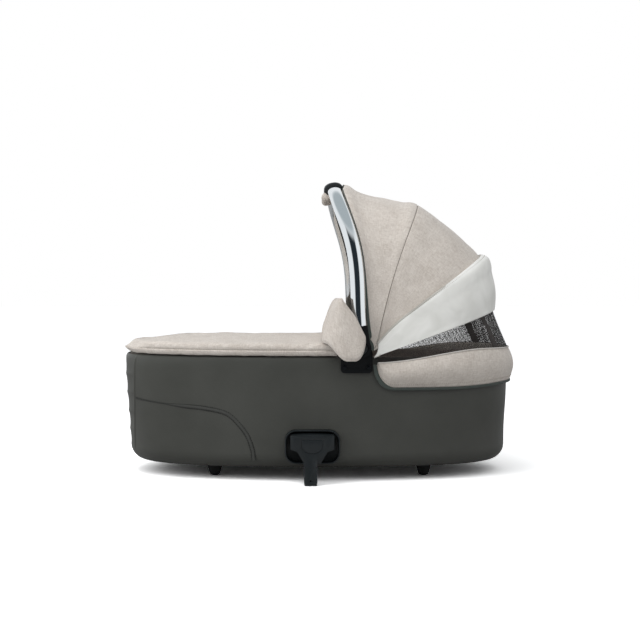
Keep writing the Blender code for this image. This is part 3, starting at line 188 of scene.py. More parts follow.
def smooth_path(marks: np.ndarray, count: int) -> np.ndarray:
    """Smooth curve through marks: a uniform Catmull-Rom spline, whose places are then spaced evenly by run.

    Args:
        marks: (n, k) places in order.
        count: number of points returned.

    Returns:
        (count, k) places.
    """
    before = 2.0 * marks[:1] - marks[1:2]
    after = 2.0 * marks[-1:] - marks[-2:-1]
    all_marks = np.concatenate((before, marks, after))
    t = np.linspace(0.0, 1.0, 24, endpoint=False)[:, None]
    runs = []
    for place in range(len(marks) - 1):
        a, b, c, d = all_marks[place:place + 4]
        runs.append(0.5 * (2.0 * b + (c - a) * t + (2.0 * a - 5.0 * b + 4.0 * c - d) * t ** 2
                           + (3.0 * b - a - 3.0 * c + d) * t ** 3))
    dense = np.concatenate(runs + [marks[-1:]])
    return resample(dense, np.linspace(0.0, 1.0, count))


def soft_noise(points: np.ndarray, size: float, seed: int = SEED) -> np.ndarray:
    """Smooth seeded noise: nine sine waves of random direction added up, their length near size.

    Args:
        points: (..., 3) places in metres.
        size: wavelength in metres.
        seed: picks the waves.

    Returns:
        Values of about -1 to 1, one for each point.
    """
    waves = np.random.default_rng(seed)
    total = np.zeros(points.shape[:-1])
    for _ in range(9):
        way = waves.normal(size=3)
        way *= 2.0 * math.pi / (size * waves.uniform(0.7, 1.5) * np.linalg.norm(way))
        total += np.sin(points @ way + waves.uniform(0.0, 2.0 * math.pi))
    return total / 4.5


# Meshes
def linked(name: str, data: ID) -> Object:
    """New object in the scene round a mesh, a lamp or a camera."""
    thing = bpy.data.objects.new(name, data)
    bpy.context.scene.collection.objects.link(thing)
    return thing


@contextmanager
def editing(piece: Object) -> Iterator[bmesh.types.BMesh]:
    """Opens a piece's mesh for edits and writes it back."""
    work = bmesh.new()
    work.from_mesh(piece.data)
    work.verts.ensure_lookup_table()
    yield work
    work.to_mesh(piece.data)
    work.free()


def turn_faces(piece: Object, inwards: bool = False) -> None:
    """Turns a mesh's faces to one side, outwards or inwards."""
    with editing(piece) as work:
        bmesh.ops.recalc_face_normals(work, faces=work.faces)
        if inwards:
            bmesh.ops.reverse_faces(work, faces=work.faces)


def turn_faces_up(piece: Object, upwards: np.ndarray) -> None:
    """Turns an open mesh's faces to its upper side."""
    turn_faces(piece)
    normals = np.empty(len(piece.data.polygons) * 3)
    piece.data.polygons.foreach_get("normal", normals)
    if normals.reshape(-1, 3)[:, 2].sum() * upwards[2] < 0:
        turn_faces(piece, inwards=True)


def grid_uv(points: np.ndarray, wrap: bool) -> np.ndarray:
    """Cloth coordinates of a grid in metres: mean run along the rows, and mean run along the columns.

    Args:
        points: (rows, columns, 3) places.
        wrap: True where the last column joins the first.

    Returns:
        (rows, columns or columns + 1, 2) coordinates.
    """
    around = np.concatenate((points, points[:, :1]), axis=1) if wrap else points
    across = np.linalg.norm(np.diff(around, axis=1), axis=2).mean(axis=0)
    down = np.linalg.norm(np.diff(around, axis=0), axis=2).mean(axis=1)
    u = np.concatenate(([0.0], np.cumsum(across)))
    v = np.concatenate(([0.0], np.cumsum(down)))
    return np.stack(np.meshgrid(u, v), axis=-1)


def grid_object(name: str, points: np.ndarray, materials: Sequence[Material], wrap: bool = False,
                capped: bool = False, flip: bool = False) -> Object:
    """Makes one smooth mesh object from a grid of places.

    Args:
        name: the piece's name.
        points: (rows, columns, 3) places.
        materials: material slots.
        wrap: joins the last column to the first.
        capped: closes the first and last row with one face each, and turns all faces outwards.
        flip: turns the faces over.

    Returns:
        The object, linked to the scene.
    """
    rows, columns = points.shape[:2]
    uv = grid_uv(points, wrap)
    step = np.arange(columns if wrap else columns - 1)
    row = np.arange(rows - 1)[:, None]
    after = (step + 1) % columns
    quads = np.stack((row * columns + step, row * columns + after, (row + 1) * columns + after,
                      (row + 1) * columns + step), axis=-1).reshape(-1, 4)
    corner = np.stack((uv[:-1, step], uv[:-1, step + 1], uv[1:, step + 1], uv[1:, step]),
                      axis=2).reshape(-1, 4, 2)
    if flip:
        quads, corner = quads[:, ::-1], corner[:, ::-1]
    faces = quads.tolist()
    corners = corner.reshape(-1, 2)
    if capped:
        first, last = list(range(columns)), list(range((rows - 1) * columns, rows * columns))
        faces += [first[::-1] if not flip else first, last if not flip else last[::-1]]
        corners = np.concatenate((corners, uv[0, :columns][::-1], uv[-1, :columns]))
    mesh = bpy.data.meshes.new(name)
    mesh.from_pydata(points.reshape(-1, 3).tolist(), [], faces)
    layer = mesh.uv_layers.new(name="Cloth")
    layer.data.foreach_set("uv", corners.astype(np.float32).ravel())
    for material in materials:
        mesh.materials.append(material)
    mesh.shade_smooth()
    piece = linked(name, mesh)
    if capped:
        turn_faces(piece)
    return piece


def close_last_ring(piece: Object, columns: int) -> None:
    """Closes a wrapped grid's last row with a fan to its middle."""
    with editing(piece) as work:
        ring = work.verts[-columns:]
        middle = work.verts.new(np.mean([vertex.co for vertex in ring], axis=0))
        for place in range(columns):
            work.faces.new((ring[place], ring[(place + 1) % columns], middle)).smooth = True


def close_loop(piece: Object, rings: int, sides: int) -> None:
    """Joins the last ring of a wrapped grid to its first, for a cord that runs right round."""
    with editing(piece) as work:
        last, first = work.verts[(rings - 1) * sides:rings * sides], work.verts[:sides]
        for place in range(sides):
            after = (place + 1) % sides
            work.faces.new((last[place], last[after], first[after], first[place])).smooth = True
        bmesh.ops.recalc_face_normals(work, faces=work.faces)


def settle(piece: Object) -> Object:
    """Applies a piece's modifiers to its mesh."""
    bpy.context.view_layer.update()
    mesh = bpy.data.meshes.new_from_object(piece.evaluated_get(bpy.context.evaluated_depsgraph_get()))
    mesh.name = piece.name
    piece.modifiers.clear()
    piece.data = mesh
    return piece


def thicken(piece: Object, thickness: float, inner_slot: int = 0, even: bool = True) -> Object:
    """Gives an open surface a wall on its inner side, and applies it.

    Args:
        piece: the open surface.
        thickness: the wall in metres.
        inner_slot: how many slots further on the inner faces' material is.
        even: False where folds are tighter than the wall.

    Returns:
        The same object with a closed mesh.
    """
    wall = piece.modifiers.new("wall", "SOLIDIFY")
    wall.thickness = thickness
    wall.offset = -1.0
    wall.use_even_offset = even
    wall.use_quality_normals = True
    wall.material_offset = inner_slot
    return settle(piece)


def sweep_grid(path: np.ndarray, across: np.ndarray, half_width: Values, half_thickness: Values, sides: int,
               power: float = 2.0) -> np.ndarray:
    """Grid of a rounded section carried along a path.

    A point is path + w * half_width * sgn(cos t)|cos t|^(2/power)
    + n * half_thickness * sgn(sin t)|sin t|^(2/power), where w is across made square to the path and n is
    square to both.

    Args:
        path: (n, 3) centre line.
        across: (n, 3) or (3,) direction of the section's width.
        half_width: number or (n,) array.
        half_thickness: number or (n,) array.
        sides: points round the section.
        power: 2 for an ellipse, more for a squarer section.

    Returns:
        (n, sides, 3) grid, the same way round for every path.
    """
    tangent = unit(np.gradient(path, axis=0))
    across = np.broadcast_to(across, path.shape)
    width_way = unit(across - (across * tangent).sum(axis=1, keepdims=True) * tangent)
    thickness_way = np.cross(tangent, width_way)
    turn = evenly_round(sides)
    wide, thick = signed_power(np.cos(turn), 2.0 / power), signed_power(np.sin(turn), 2.0 / power)
    half_width = np.broadcast_to(half_width, len(path))[:, None, None]
    half_thickness = np.broadcast_to(half_thickness, len(path))[:, None, None]
    return (path[:, None] + half_width * wide[None, :, None] * width_way[:, None]
            + half_thickness * thick[None, :, None] * thickness_way[:, None])


def round_ends(grid: np.ndarray, steps: int = 3, share: float = 0.35) -> np.ndarray:
    """Adds shrinking rings to both ends of a swept grid, so that its caps look sewn or moulded."""
    rings = [grid]
    for end, beside in ((0, 1), (-1, -2)):
        centre = grid[end].mean(axis=0)
        out = unit((centre - grid[beside].mean(axis=0))[None])[0]
        size = np.linalg.norm(grid[end] - centre, axis=1).min()
        extra = []
        for step in range(1, steps + 1):
            turn = 0.5 * math.pi * step / steps
            ring = centre + (grid[end] - centre) * (1.0 - share + share * math.cos(turn))
            extra.append(ring + out * size * share * math.sin(turn))
        extra = np.array(extra)
        rings = [extra[::-1]] + rings if end == 0 else rings + [extra]
    return np.concatenate(rings)


def stitch_row(name: str, path: np.ndarray, normals: np.ndarray, material: Material,
               pitch: float = 0.0042, length: float = 0.0030, radius: float = 0.0005) -> Object:
    """Row of single stitches that lie on a surface along a path.

    Each stitch is one six-sided spindle of four rings, set along the path and pressed half into the surface.

    Args:
        name: the piece's name.
        path: (n, 3) places on the surface.
        normals: (n, 3) outward directions there.
        material: the thread.
        pitch: distance from stitch to stitch.
        length: length of one stitch.
        radius: half its thickness.

    Returns:
        One object with all the stitches.
    """
    run = arc_lengths(path)
    count = max(int(run[-1] / pitch), 2)
    shares = (np.arange(count) + 0.5) / count
    place = resample(path, shares)
    along = unit(resample(np.gradient(path, axis=0), shares))
    out = unit(resample(normals, shares))
    side = np.cross(out, along)
    sides, rings = 6, ((-1.0, 0.45), (-0.6, 1.0), (0.6, 1.0), (1.0, 0.45))
    each = sides * len(rings)
    turn = evenly_round(sides)
    ring = np.stack((np.cos(turn), np.sin(turn)), axis=1) * radius
    template = np.concatenate([np.column_stack((np.full(sides, at * length / 2), ring * size))
                               for at, size in rings])
    points = (place[:, None] + template[None, :, :1] * along[:, None] + template[None, :, 1:2] * side[:, None]
              + template[None, :, 2:] * out[:, None])
    faces = []
    for first in range(0, each - sides, sides):
        for corner in range(sides):
            after = (corner + 1) % sides
            faces.append([first + corner, first + after, first + sides + after, first + sides + corner])
    quads = (np.array(faces)[None] + np.arange(count)[:, None, None] * each).reshape(-1, 4).tolist()
    caps = [[base + corner for corner in order] for base in range(0, count * each, each)
            for order in (range(sides)[::-1], range(each - sides, each))]
    mesh = bpy.data.meshes.new(name)
    mesh.from_pydata(points.reshape(-1, 3).tolist(), [], quads + caps)
    mesh.materials.append(material)
    mesh.shade_smooth()
    return linked(name, mesh)


def join_as(name: str, pieces: Sequence[Object]) -> Object:
    """Joins several objects into one mesh.

    Args:
        name: the new piece's name.
        pieces: objects at the origin, each with the materials it needs.

    Returns:
        The joined object; the others are removed.
    """
    slots: list[Material] = []
    joined = bmesh.new()
    for piece in pieces:
        for material in piece.data.materials:
            if material not in slots:
                slots.append(material)
        order = [slots.index(material) for material in piece.data.materials]
        before = len(joined.faces)
        joined.from_mesh(piece.data)
        joined.faces.ensure_lookup_table()
        for face in joined.faces[before:]:
            face.material_index = order[face.material_index] if order else 0
    mesh = bpy.data.meshes.new(name)
    joined.to_mesh(mesh)
    joined.free()
    for material in slots:
        mesh.materials.append(material)
    for piece in pieces:
        bpy.data.objects.remove(piece, do_unlink=True)
    return linked(name, mesh)


def refined_copy(node: str, name: str, material: Material, rounding: float = 0.0006,
                 segments: int = 2) -> Object:
    """Merged, edge-rounded copy of a rigid node, which then stands for it.

    Args:
        node: the CAD node.
        name: the new piece's name.
        material: its finish.
        rounding: bevel width in metres.
        segments: bevel segments.

    Returns:
        The copy.
    """
    copy = bmesh.new()
    copy.from_mesh(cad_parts[node].data)
    bmesh.ops.remove_doubles(copy, verts=copy.verts, dist=0.00002)
    bmesh.ops.dissolve_limit(copy, angle_limit=math.radians(1.0), verts=copy.verts, edges=copy.edges)
    mesh = bpy.data.meshes.new(name)
    copy.to_mesh(mesh)
    copy.free()
    mesh.materials.clear()
    mesh.materials.append(material)
    piece = linked(name, mesh)
    edge = piece.modifiers.new("edges", "BEVEL")
    edge.width = rounding
    edge.segments = segments
    edge.limit_method = "ANGLE"
    edge.angle_limit = math.radians(32)
    edge.harden_normals = False
    settle(piece)
    piece.data.shade_smooth()
    piece.data.set_sharp_from_angle(angle=math.radians(38))
    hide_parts(node)
    return piece


# Finishes
def add_node(tree: NodeTree, kind: str, inputs: dict[Any, Any] | None = None,
             **settings: Any) -> Node:
    """Adds a node with its settings, values and links.

    Args:
        tree: the material's node tree.
        kind: Blender's name for the node's type.
        inputs: socket name or number, and a value or the output socket that feeds it.
        **settings: attribute names and values.

    Returns:
        The node.
    """
    node = tree.nodes.new(kind)
    for key, value in settings.items():
        setattr(node, key, value)
    for key, value in (inputs or {}).items():
        if isinstance(value, NodeSocket):
            tree.links.new(value, node.inputs[key])
        else:
            node.inputs[key].default_value = value
    return node


@dataclass(frozen=True)
class Finish:
    """One surface: its two colours, its gloss, and what its pattern follows."""

    name: str
    light: str
    dark: str
    roughness: float
    coords: Coords = Coords.OBJECT
    metallic: float = 0.0

    def start(self) -> tuple[Material, NodeTree, NodeSocket]:
        """Makes the material with an empty tree and the coordinates in metres.

        Returns:
            The material, its tree and the coordinate socket.
        """
        material = bpy.data.materials.new(self.name)
        material.use_nodes = True
        tree = material.node_tree
        tree.nodes.clear()
        places = add_node(tree, "ShaderNodeTexCoord")
        return material, tree, places.outputs[self.coords.value]

    def close(self, material: Material, tree: NodeTree, share: NodeSocket, height: NodeSocket,
              relief_mm: float, rough: NodeSocket | None = None, **shader: Any) -> Material:
        """Adds the shader with its colour and relief, and the output.

        Args:
            material: the material.
            tree: its tree.
            share: place between the dark colour and the light one.
            height: relief from 0 to 1.
            relief_mm: depth of that relief.
            rough: roughness socket, or None for the plain value.
            **shader: values for the shader's own sockets, spaces written as underscores.

        Returns:
            The finished material.
        """
        blend = add_node(tree, "ShaderNodeMix", {0: share, 6: linear(self.dark), 7: linear(self.light)},
                         data_type="RGBA")
        relief = add_node(tree, "ShaderNodeBump",
                          {"Strength": 1.0, "Distance": relief_mm / 1000, "Height": height})
        values: dict[Any, Any] = {"Base Color": blend.outputs[2], "Metallic": self.metallic,
                                  "Normal": relief.outputs[0],
                                  "Roughness": self.roughness if rough is None else rough}
        values.update({key.replace("_", " "): value for key, value in shader.items()})
        surface = add_node(tree, "ShaderNodeBsdfPrincipled", values)
        add_node(tree, "ShaderNodeOutputMaterial", {"Surface": surface.outputs[0]})
        material.diffuse_color = linear(self.light)
        return material


@dataclass(frozen=True)
class WovenMelange(Finish):
    """Polyester melange, plain weave: soft speckle of pale and dark yarn, matt with a little edge fuzz."""

    thread_mm: float = 1.3
    slub_mm: float = 5.0
    relief_mm: float = 0.35

    def make(self) -> Material:
        """Weave sin(u) * sin(v) for relief, and slubs drawn out along both yarns for colour."""
        material, tree, places = self.start()
        turns = 1000.0 * math.pi / self.thread_mm
        split = add_node(tree, "ShaderNodeSeparateXYZ", {0: places})
        waves = []
        for axis in (0, 1):
            scaled = add_node(tree, "ShaderNodeMath", {0: split.outputs[axis], 1: turns},
                              operation="MULTIPLY")
            sine = add_node(tree, "ShaderNodeMath", {0: scaled.outputs[0]}, operation="SINE")
            waves.append(sine.outputs[0])
        weave = add_node(tree, "ShaderNodeMath", {0: waves[0], 1: waves[1]}, operation="MULTIPLY")
        slubs = []
        for stretch in ((0.25, 1.0, 1.0), (1.0, 0.25, 1.0)):
            drawn = add_node(tree, "ShaderNodeVectorMath", {0: places, 1: stretch}, operation="MULTIPLY")
            slub = add_node(tree, "ShaderNodeTexNoise", {
                "Vector": drawn.outputs[0], "Scale": 2000.0 / self.slub_mm, "Detail": 3.0, "Roughness": 0.7})
            slubs.append(slub.outputs[0])
        speckle = add_node(tree, "ShaderNodeMath", {0: slubs[0], 1: slubs[1]}, operation="ADD")
        wide = add_node(tree, "ShaderNodeTexNoise", {"Vector": places, "Scale": 24.0, "Detail": 2.0})
        mottle = add_node(tree, "ShaderNodeMath", {0: wide.outputs[0], 1: 0.5, 2: speckle.outputs[0]},
                          operation="MULTIPLY_ADD")
        spread = add_node(tree, "ShaderNodeMapRange", {0: mottle.outputs[0], 1: 0.90, 2: 1.60})
        shade = add_node(tree, "ShaderNodeMath", {0: weave.outputs[0], 1: 0.10, 2: spread.outputs[0]},
                         operation="MULTIPLY_ADD")
        height = add_node(tree, "ShaderNodeMath", {0: weave.outputs[0], 1: 0.5, 2: slubs[0]},
                          operation="MULTIPLY_ADD")
        return self.close(material, tree, shade.outputs[0], height.outputs[0], self.relief_mm,
                          Sheen_Weight=0.25, Sheen_Roughness=0.6, Specular_IOR_Level=0.25)


@dataclass(frozen=True)
class PlainCotton(Finish):
    """Fine woven cotton: almost even colour, faint threads, soft creases."""

    thread_mm: float = 1.0
    crease_mm: float = 45.0
    relief_mm: float = 0.5

    def make(self) -> Material:
        """Crossed threads under slow creases; the colour follows the creases, darker in their hollows as
        painted shade.
        """
        material, tree, places = self.start()
        threads = add_node(tree, "ShaderNodeTexNoise",
                           {"Vector": places, "Scale": 1000.0 / self.thread_mm, "Detail": 1.0})
        creases = add_node(tree, "ShaderNodeTexNoise", {"Vector": places, "Scale": 1000.0 / self.crease_mm,
                                                        "Detail": 2.0, "Distortion": 0.6})
        # Painted shade: the colour follows the creases' relief, darker in their hollows.
        shade = add_node(tree, "ShaderNodeMapRange", {0: creases.outputs[0], 1: 0.25, 2: 0.65})
        height = add_node(tree, "ShaderNodeMath", {0: threads.outputs[0], 1: 0.15, 2: creases.outputs[0]},
                          operation="MULTIPLY_ADD")
        return self.close(material, tree, shade.outputs[0], height.outputs[0], self.relief_mm,
                          Sheen_Weight=0.15, Specular_IOR_Level=0.3)


@dataclass(frozen=True)
class QuiltedKnit(Finish):
    """Soft knit cover, quilted in lozenges by a thread that draws it in."""

    lozenge_mm: float = 46.0
    relief_mm: float = 2.5

    def make(self) -> Material:
        """Relief |sin(x + y) * sin(x - y)| ^ 0.4, low along the quilting lines; the colour follows it, darker
        along the lines as painted shade.
        """
        material, tree, places = self.start()
        split = add_node(tree, "ShaderNodeSeparateXYZ", {0: places})
        turn = 1000.0 * math.pi / self.lozenge_mm
        waves = []
        for sign in (1.0, -1.0):
            second = add_node(tree, "ShaderNodeMath", {0: split.outputs[1], 1: sign, 2: split.outputs[0]},
                              operation="MULTIPLY_ADD")
            scaled = add_node(tree, "ShaderNodeMath", {0: second.outputs[0], 1: turn}, operation="MULTIPLY")
            sine = add_node(tree, "ShaderNodeMath", {0: scaled.outputs[0]}, operation="SINE")
            waves.append(sine.outputs[0])
        product = add_node(tree, "ShaderNodeMath", {0: waves[0], 1: waves[1]}, operation="MULTIPLY")
        size = add_node(tree, "ShaderNodeMath", {0: product.outputs[0]}, operation="ABSOLUTE")
        puff = add_node(tree, "ShaderNodeMath", {0: size.outputs[0], 1: 0.4}, operation="POWER")
        # Painted shade: the colour follows the puff, darker in the quilted lines.
        return self.close(material, tree, puff.outputs[0], puff.outputs[0], self.relief_mm,
                          Sheen_Weight=0.2, Specular_IOR_Level=0.25)


@dataclass(frozen=True)
class VentNet(Finish):
    """Warp-knit ventilation net: dark yarn round open holes, drawn a little coarser than the real one."""

    hole_mm: float = 1.6
    open_share: float = 0.68

    def make(self) -> Material:
        """Staggered round holes from a Voronoi cell's distance, cut out by alpha."""
        material, tree, places = self.start()
        material.surface_render_method = "DITHERED"
        cells = add_node(tree, "ShaderNodeTexVoronoi", {"Vector": places, "Scale": 1000.0 / self.hole_mm,
                                                        "Randomness": 0.45}, voronoi_dimensions="2D")
        yarn = add_node(tree, "ShaderNodeMath", {0: cells.outputs[0], 1: self.open_share / 1.55},
                        operation="GREATER_THAN")
        return self.close(material, tree, cells.outputs[0], cells.outputs[0], 0.3,
                          Alpha=yarn.outputs[0], Specular_IOR_Level=0.3)


@dataclass(frozen=True)
class Leatherette(Finish):
    """PU-coated leatherette with a fine embossed pebble grain: satin, shaded slowly by its padding."""

    grain_mm: float = 1.7
    relief_mm: float = 0.12

    def make(self) -> Material:
        """Pebbles from Voronoi cells over slow shading."""
        material, tree, places = self.start()
        pebbles = add_node(tree, "ShaderNodeTexVoronoi", {"Vector": places, "Scale": 1000.0 / self.grain_mm,
                                                          "Smoothness": 0.6}, feature="SMOOTH_F1")
        slow = add_node(tree, "ShaderNodeTexNoise", {"Vector": places, "Scale": 9.0, "Detail": 3.0})
        padding = add_node(tree, "ShaderNodeTexNoise", {"Vector": places, "Scale": 22.0, "Detail": 1.0})
        shade = add_node(tree, "ShaderNodeMapRange", {0: slow.outputs[0], 1: 0.3, 2: 0.7})
        gloss = add_node(tree, "ShaderNodeMapRange", {0: slow.outputs[0], 1: 0.3, 2: 0.7,
                                                      3: self.roughness + 0.05, 4: self.roughness - 0.05})
        height = add_node(tree, "ShaderNodeMath", {0: padding.outputs[0], 1: 6.0, 2: pebbles.outputs[0]},
                          operation="MULTIPLY_ADD")
        return self.close(material, tree, shade.outputs[0], height.outputs[0], self.relief_mm,
                          gloss.outputs[0], Specular_IOR_Level=0.4)


@dataclass(frozen=True)
class MouldedPlastic(Finish):
    """Injection-moulded nylon or ABS with a spark-eroded grain, or rubber with a duller one."""

    grain_mm: float = 0.6
    relief_mm: float = 0.04
    specular: float = 0.5

    def make(self) -> Material:
        """Fine noise for the grain and faint flow marks in the colour."""
        material, tree, places = self.start()
        grain = add_node(tree, "ShaderNodeTexNoise",
                         {"Vector": places, "Scale": 1000.0 / self.grain_mm, "Detail": 2.0})
        flow = add_node(tree, "ShaderNodeTexNoise", {"Vector": places, "Scale": 30.0, "Detail": 2.0})
        rough = add_node(tree, "ShaderNodeMapRange", {0: flow.outputs[0], 1: 0.3, 2: 0.7,
                                                      3: self.roughness - 0.06, 4: self.roughness + 0.06})
        return self.close(material, tree, flow.outputs[0], grain.outputs[0], self.relief_mm,
                          rough.outputs[0], Specular_IOR_Level=self.specular)


@dataclass(frozen=True)
class Metal(Finish):
    """Bare or plated metal: polished chrome, zinc-plated steel or drawn aluminium, by its gloss and grain."""

    grain_mm: float = 0.8
    relief_mm: float = 0.01

    def make(self) -> Material:
        """Grain drawn out along Z, and a slow change of gloss from handling."""
        material, tree, places = self.start()
        drawn = add_node(tree, "ShaderNodeVectorMath", {0: places, 1: (1.0, 1.0, 0.1)}, operation="MULTIPLY")
        grain = add_node(tree, "ShaderNodeTexNoise",
                         {"Vector": drawn.outputs[0], "Scale": 1000.0 / self.grain_mm, "Detail": 2.0})
        handled = add_node(tree, "ShaderNodeTexNoise", {"Vector": places, "Scale": 40.0, "Detail": 2.0})
        rough = add_node(tree, "ShaderNodeMapRange", {0: handled.outputs[0], 1: 0.3, 2: 0.7,
                                                      3: self.roughness * 0.8, 4: self.roughness * 1.3})
        return self.close(material, tree, handled.outputs[0], grain.outputs[0], self.relief_mm,
                          rough.outputs[0])


@dataclass(frozen=True)
class TwistedThread(Finish):
    """Bonded sewing thread or a cloth-covered piping cord, with the slant of its twist."""

    twist_mm: float = 1.2
    relief_mm: float = 0.15

    def make(self) -> Material:
        """Slanting bands for the twist."""
        material, tree, places = self.start()
        bands = add_node(tree, "ShaderNodeTexWave", {
            "Vector": places, "Scale": 320.0 / self.twist_mm, "Distortion": 1.0, "Detail": 1.0},
                         bands_direction="DIAGONAL")
        return self.close(material, tree, bands.outputs[0], bands.outputs[0], self.relief_mm,
                          Sheen_Weight=0.1, Specular_IOR_Level=0.25)


class Finishes:
    """Every material of the carrycot, made once."""

    def __init__(self) -> None:
        """Makes the materials."""
        self.woven = WovenMelange("woven_melange", "e2dbd3", "bdb3a9", 0.88, Coords.CLOTH).make()
        self.woven_pale = WovenMelange("woven_melange_pale", "dad6d1", "c3beb7", 0.85, Coords.CLOTH).make()
        self.cotton = PlainCotton("vent_flap_cotton", "f3f3ef", "e3e3de", 0.8, Coords.CLOTH).make()
        self.hem = PlainCotton("vent_flap_hem", "f4f4f1", "e8e8e4", 0.8, Coords.CLOTH).make()
        # Painted shade: the lining's dark brown stands for the shade inside the tub and hood, seen through
        # the net.
        self.lining = PlainCotton("tub_lining_painted_shade", "857b73", "6f665f", 0.85, Coords.CLOTH).make()
        self.inside = PlainCotton("hood_inside_cotton", "c9c6bf", "b5b2ab", 0.85, Coords.CLOTH).make()
        self.quilt = QuiltedKnit("quilted_knit", "efece6", "d9d5cd", 0.9).make()
        self.net = VentNet("vent_net_yarn", "3a3634", "211f1f", 0.75, Coords.CLOTH).make()
        # Painted shade: a closer net for the rear middle, which darkens it where the inside of the hood lies
        # in shade.
        self.dense_net_painted_shade = VentNet("vent_net_painted_shade_patch", "3a3735", "242222", 0.75, Coords.CLOTH,
                                 open_share=0.56).make()
        self.net_tape = TwistedThread("net_binding_tape", "3b3532", "272322", 0.8, twist_mm=1.6).make()
        self.leatherette = Leatherette("leatherette", "474844", "40413d", 0.46).make()
        # Painted shade: the welt is the same leatherette, given a darker tone for the shade of the seam's
        # crease.
        self.welt_leatherette_painted_shade = Leatherette("leatherette_welt_painted_shade", "424340", "393a37", 0.5).make()
        self.thread = TwistedThread("dark_thread", "2a2b29", "1c1d1b", 0.7).make()
        self.pale_thread = TwistedThread("pale_thread", "c3bcb2", "a49c92", 0.8).make()
        self.piping = TwistedThread("cloth_piping", "525a56", "3e4441", 0.8).make()
        self.seam = TwistedThread("seam_shadow_thread", "8a8279", "6f6861", 0.85).make()
        self.plastic = MouldedPlastic("nylon_black", "1a2023", "121719", 0.42).make()
        self.button = MouldedPlastic("nylon_button", "1c2225", "14191c", 0.34).make()
        # Painted shade: a darker copy of the black nylon for parts that sit in shade: the hinge plates, the
        # handle hubs and the backs of the leg holes.
        self.plastic_in_painted_shade = MouldedPlastic("nylon_black_painted_shade", "0b0f12", "07090b", 0.5, specular=0.2).make()
        self.rubber = MouldedPlastic("rubber_black", "151718", "0d0e0f", 0.75, grain_mm=1.0).make()
        self.foam = MouldedPlastic("foam_rubber_grip", "1d2123", "121516", 0.7, grain_mm=1.4,
                                   relief_mm=0.12).make()
        self.board = MouldedPlastic("base_board_sheet", "303234", "26282a", 0.6).make()
        self.chrome = Metal("polished_chrome", "eef1f2", "e2e6e8", 0.06, metallic=1.0, relief_mm=0.002).make()
        self.steel = Metal("zinc_steel", "9a9da0", "85888b", 0.32, metallic=1.0).make()
        self.black_steel = Metal("black_oxide_steel", "2b2e31", "1f2124", 0.38, metallic=1.0).make()
        self.aluminium = Metal("drawn_aluminium", "c2c5c7", "b0b3b5", 0.38, metallic=1.0).make()


# Steps that every sub-assembly shares
def dress(node: str, material: Material) -> None:
    """Gives a rigid node that stays its finish."""
    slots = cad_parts[node].data.materials
    slots.clear()
    slots.append(material)


def wear(piece: Object, body: str) -> None:
    """Hands a finished piece to the body that carries it, and reports it."""
    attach(piece, body)
    LOG.info("%s rides on %s: %d faces", piece.name, body, len(piece.data.polygons))


def bend_between(piece: Object, first: str, second: str) -> None:
    """Bakes a finished cloth's placement into its mesh, and reports the two bodies it lies between.

    Args:
        piece: the cloth, thickened, so that its inner vertices repeat the outer ones.
        first: the first body, named in the report.
        second: the second body, named in the report.
    """
    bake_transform(piece)
    LOG.info("%s bends between %s and %s: %d faces", piece.name, first, second, len(piece.data.polygons))


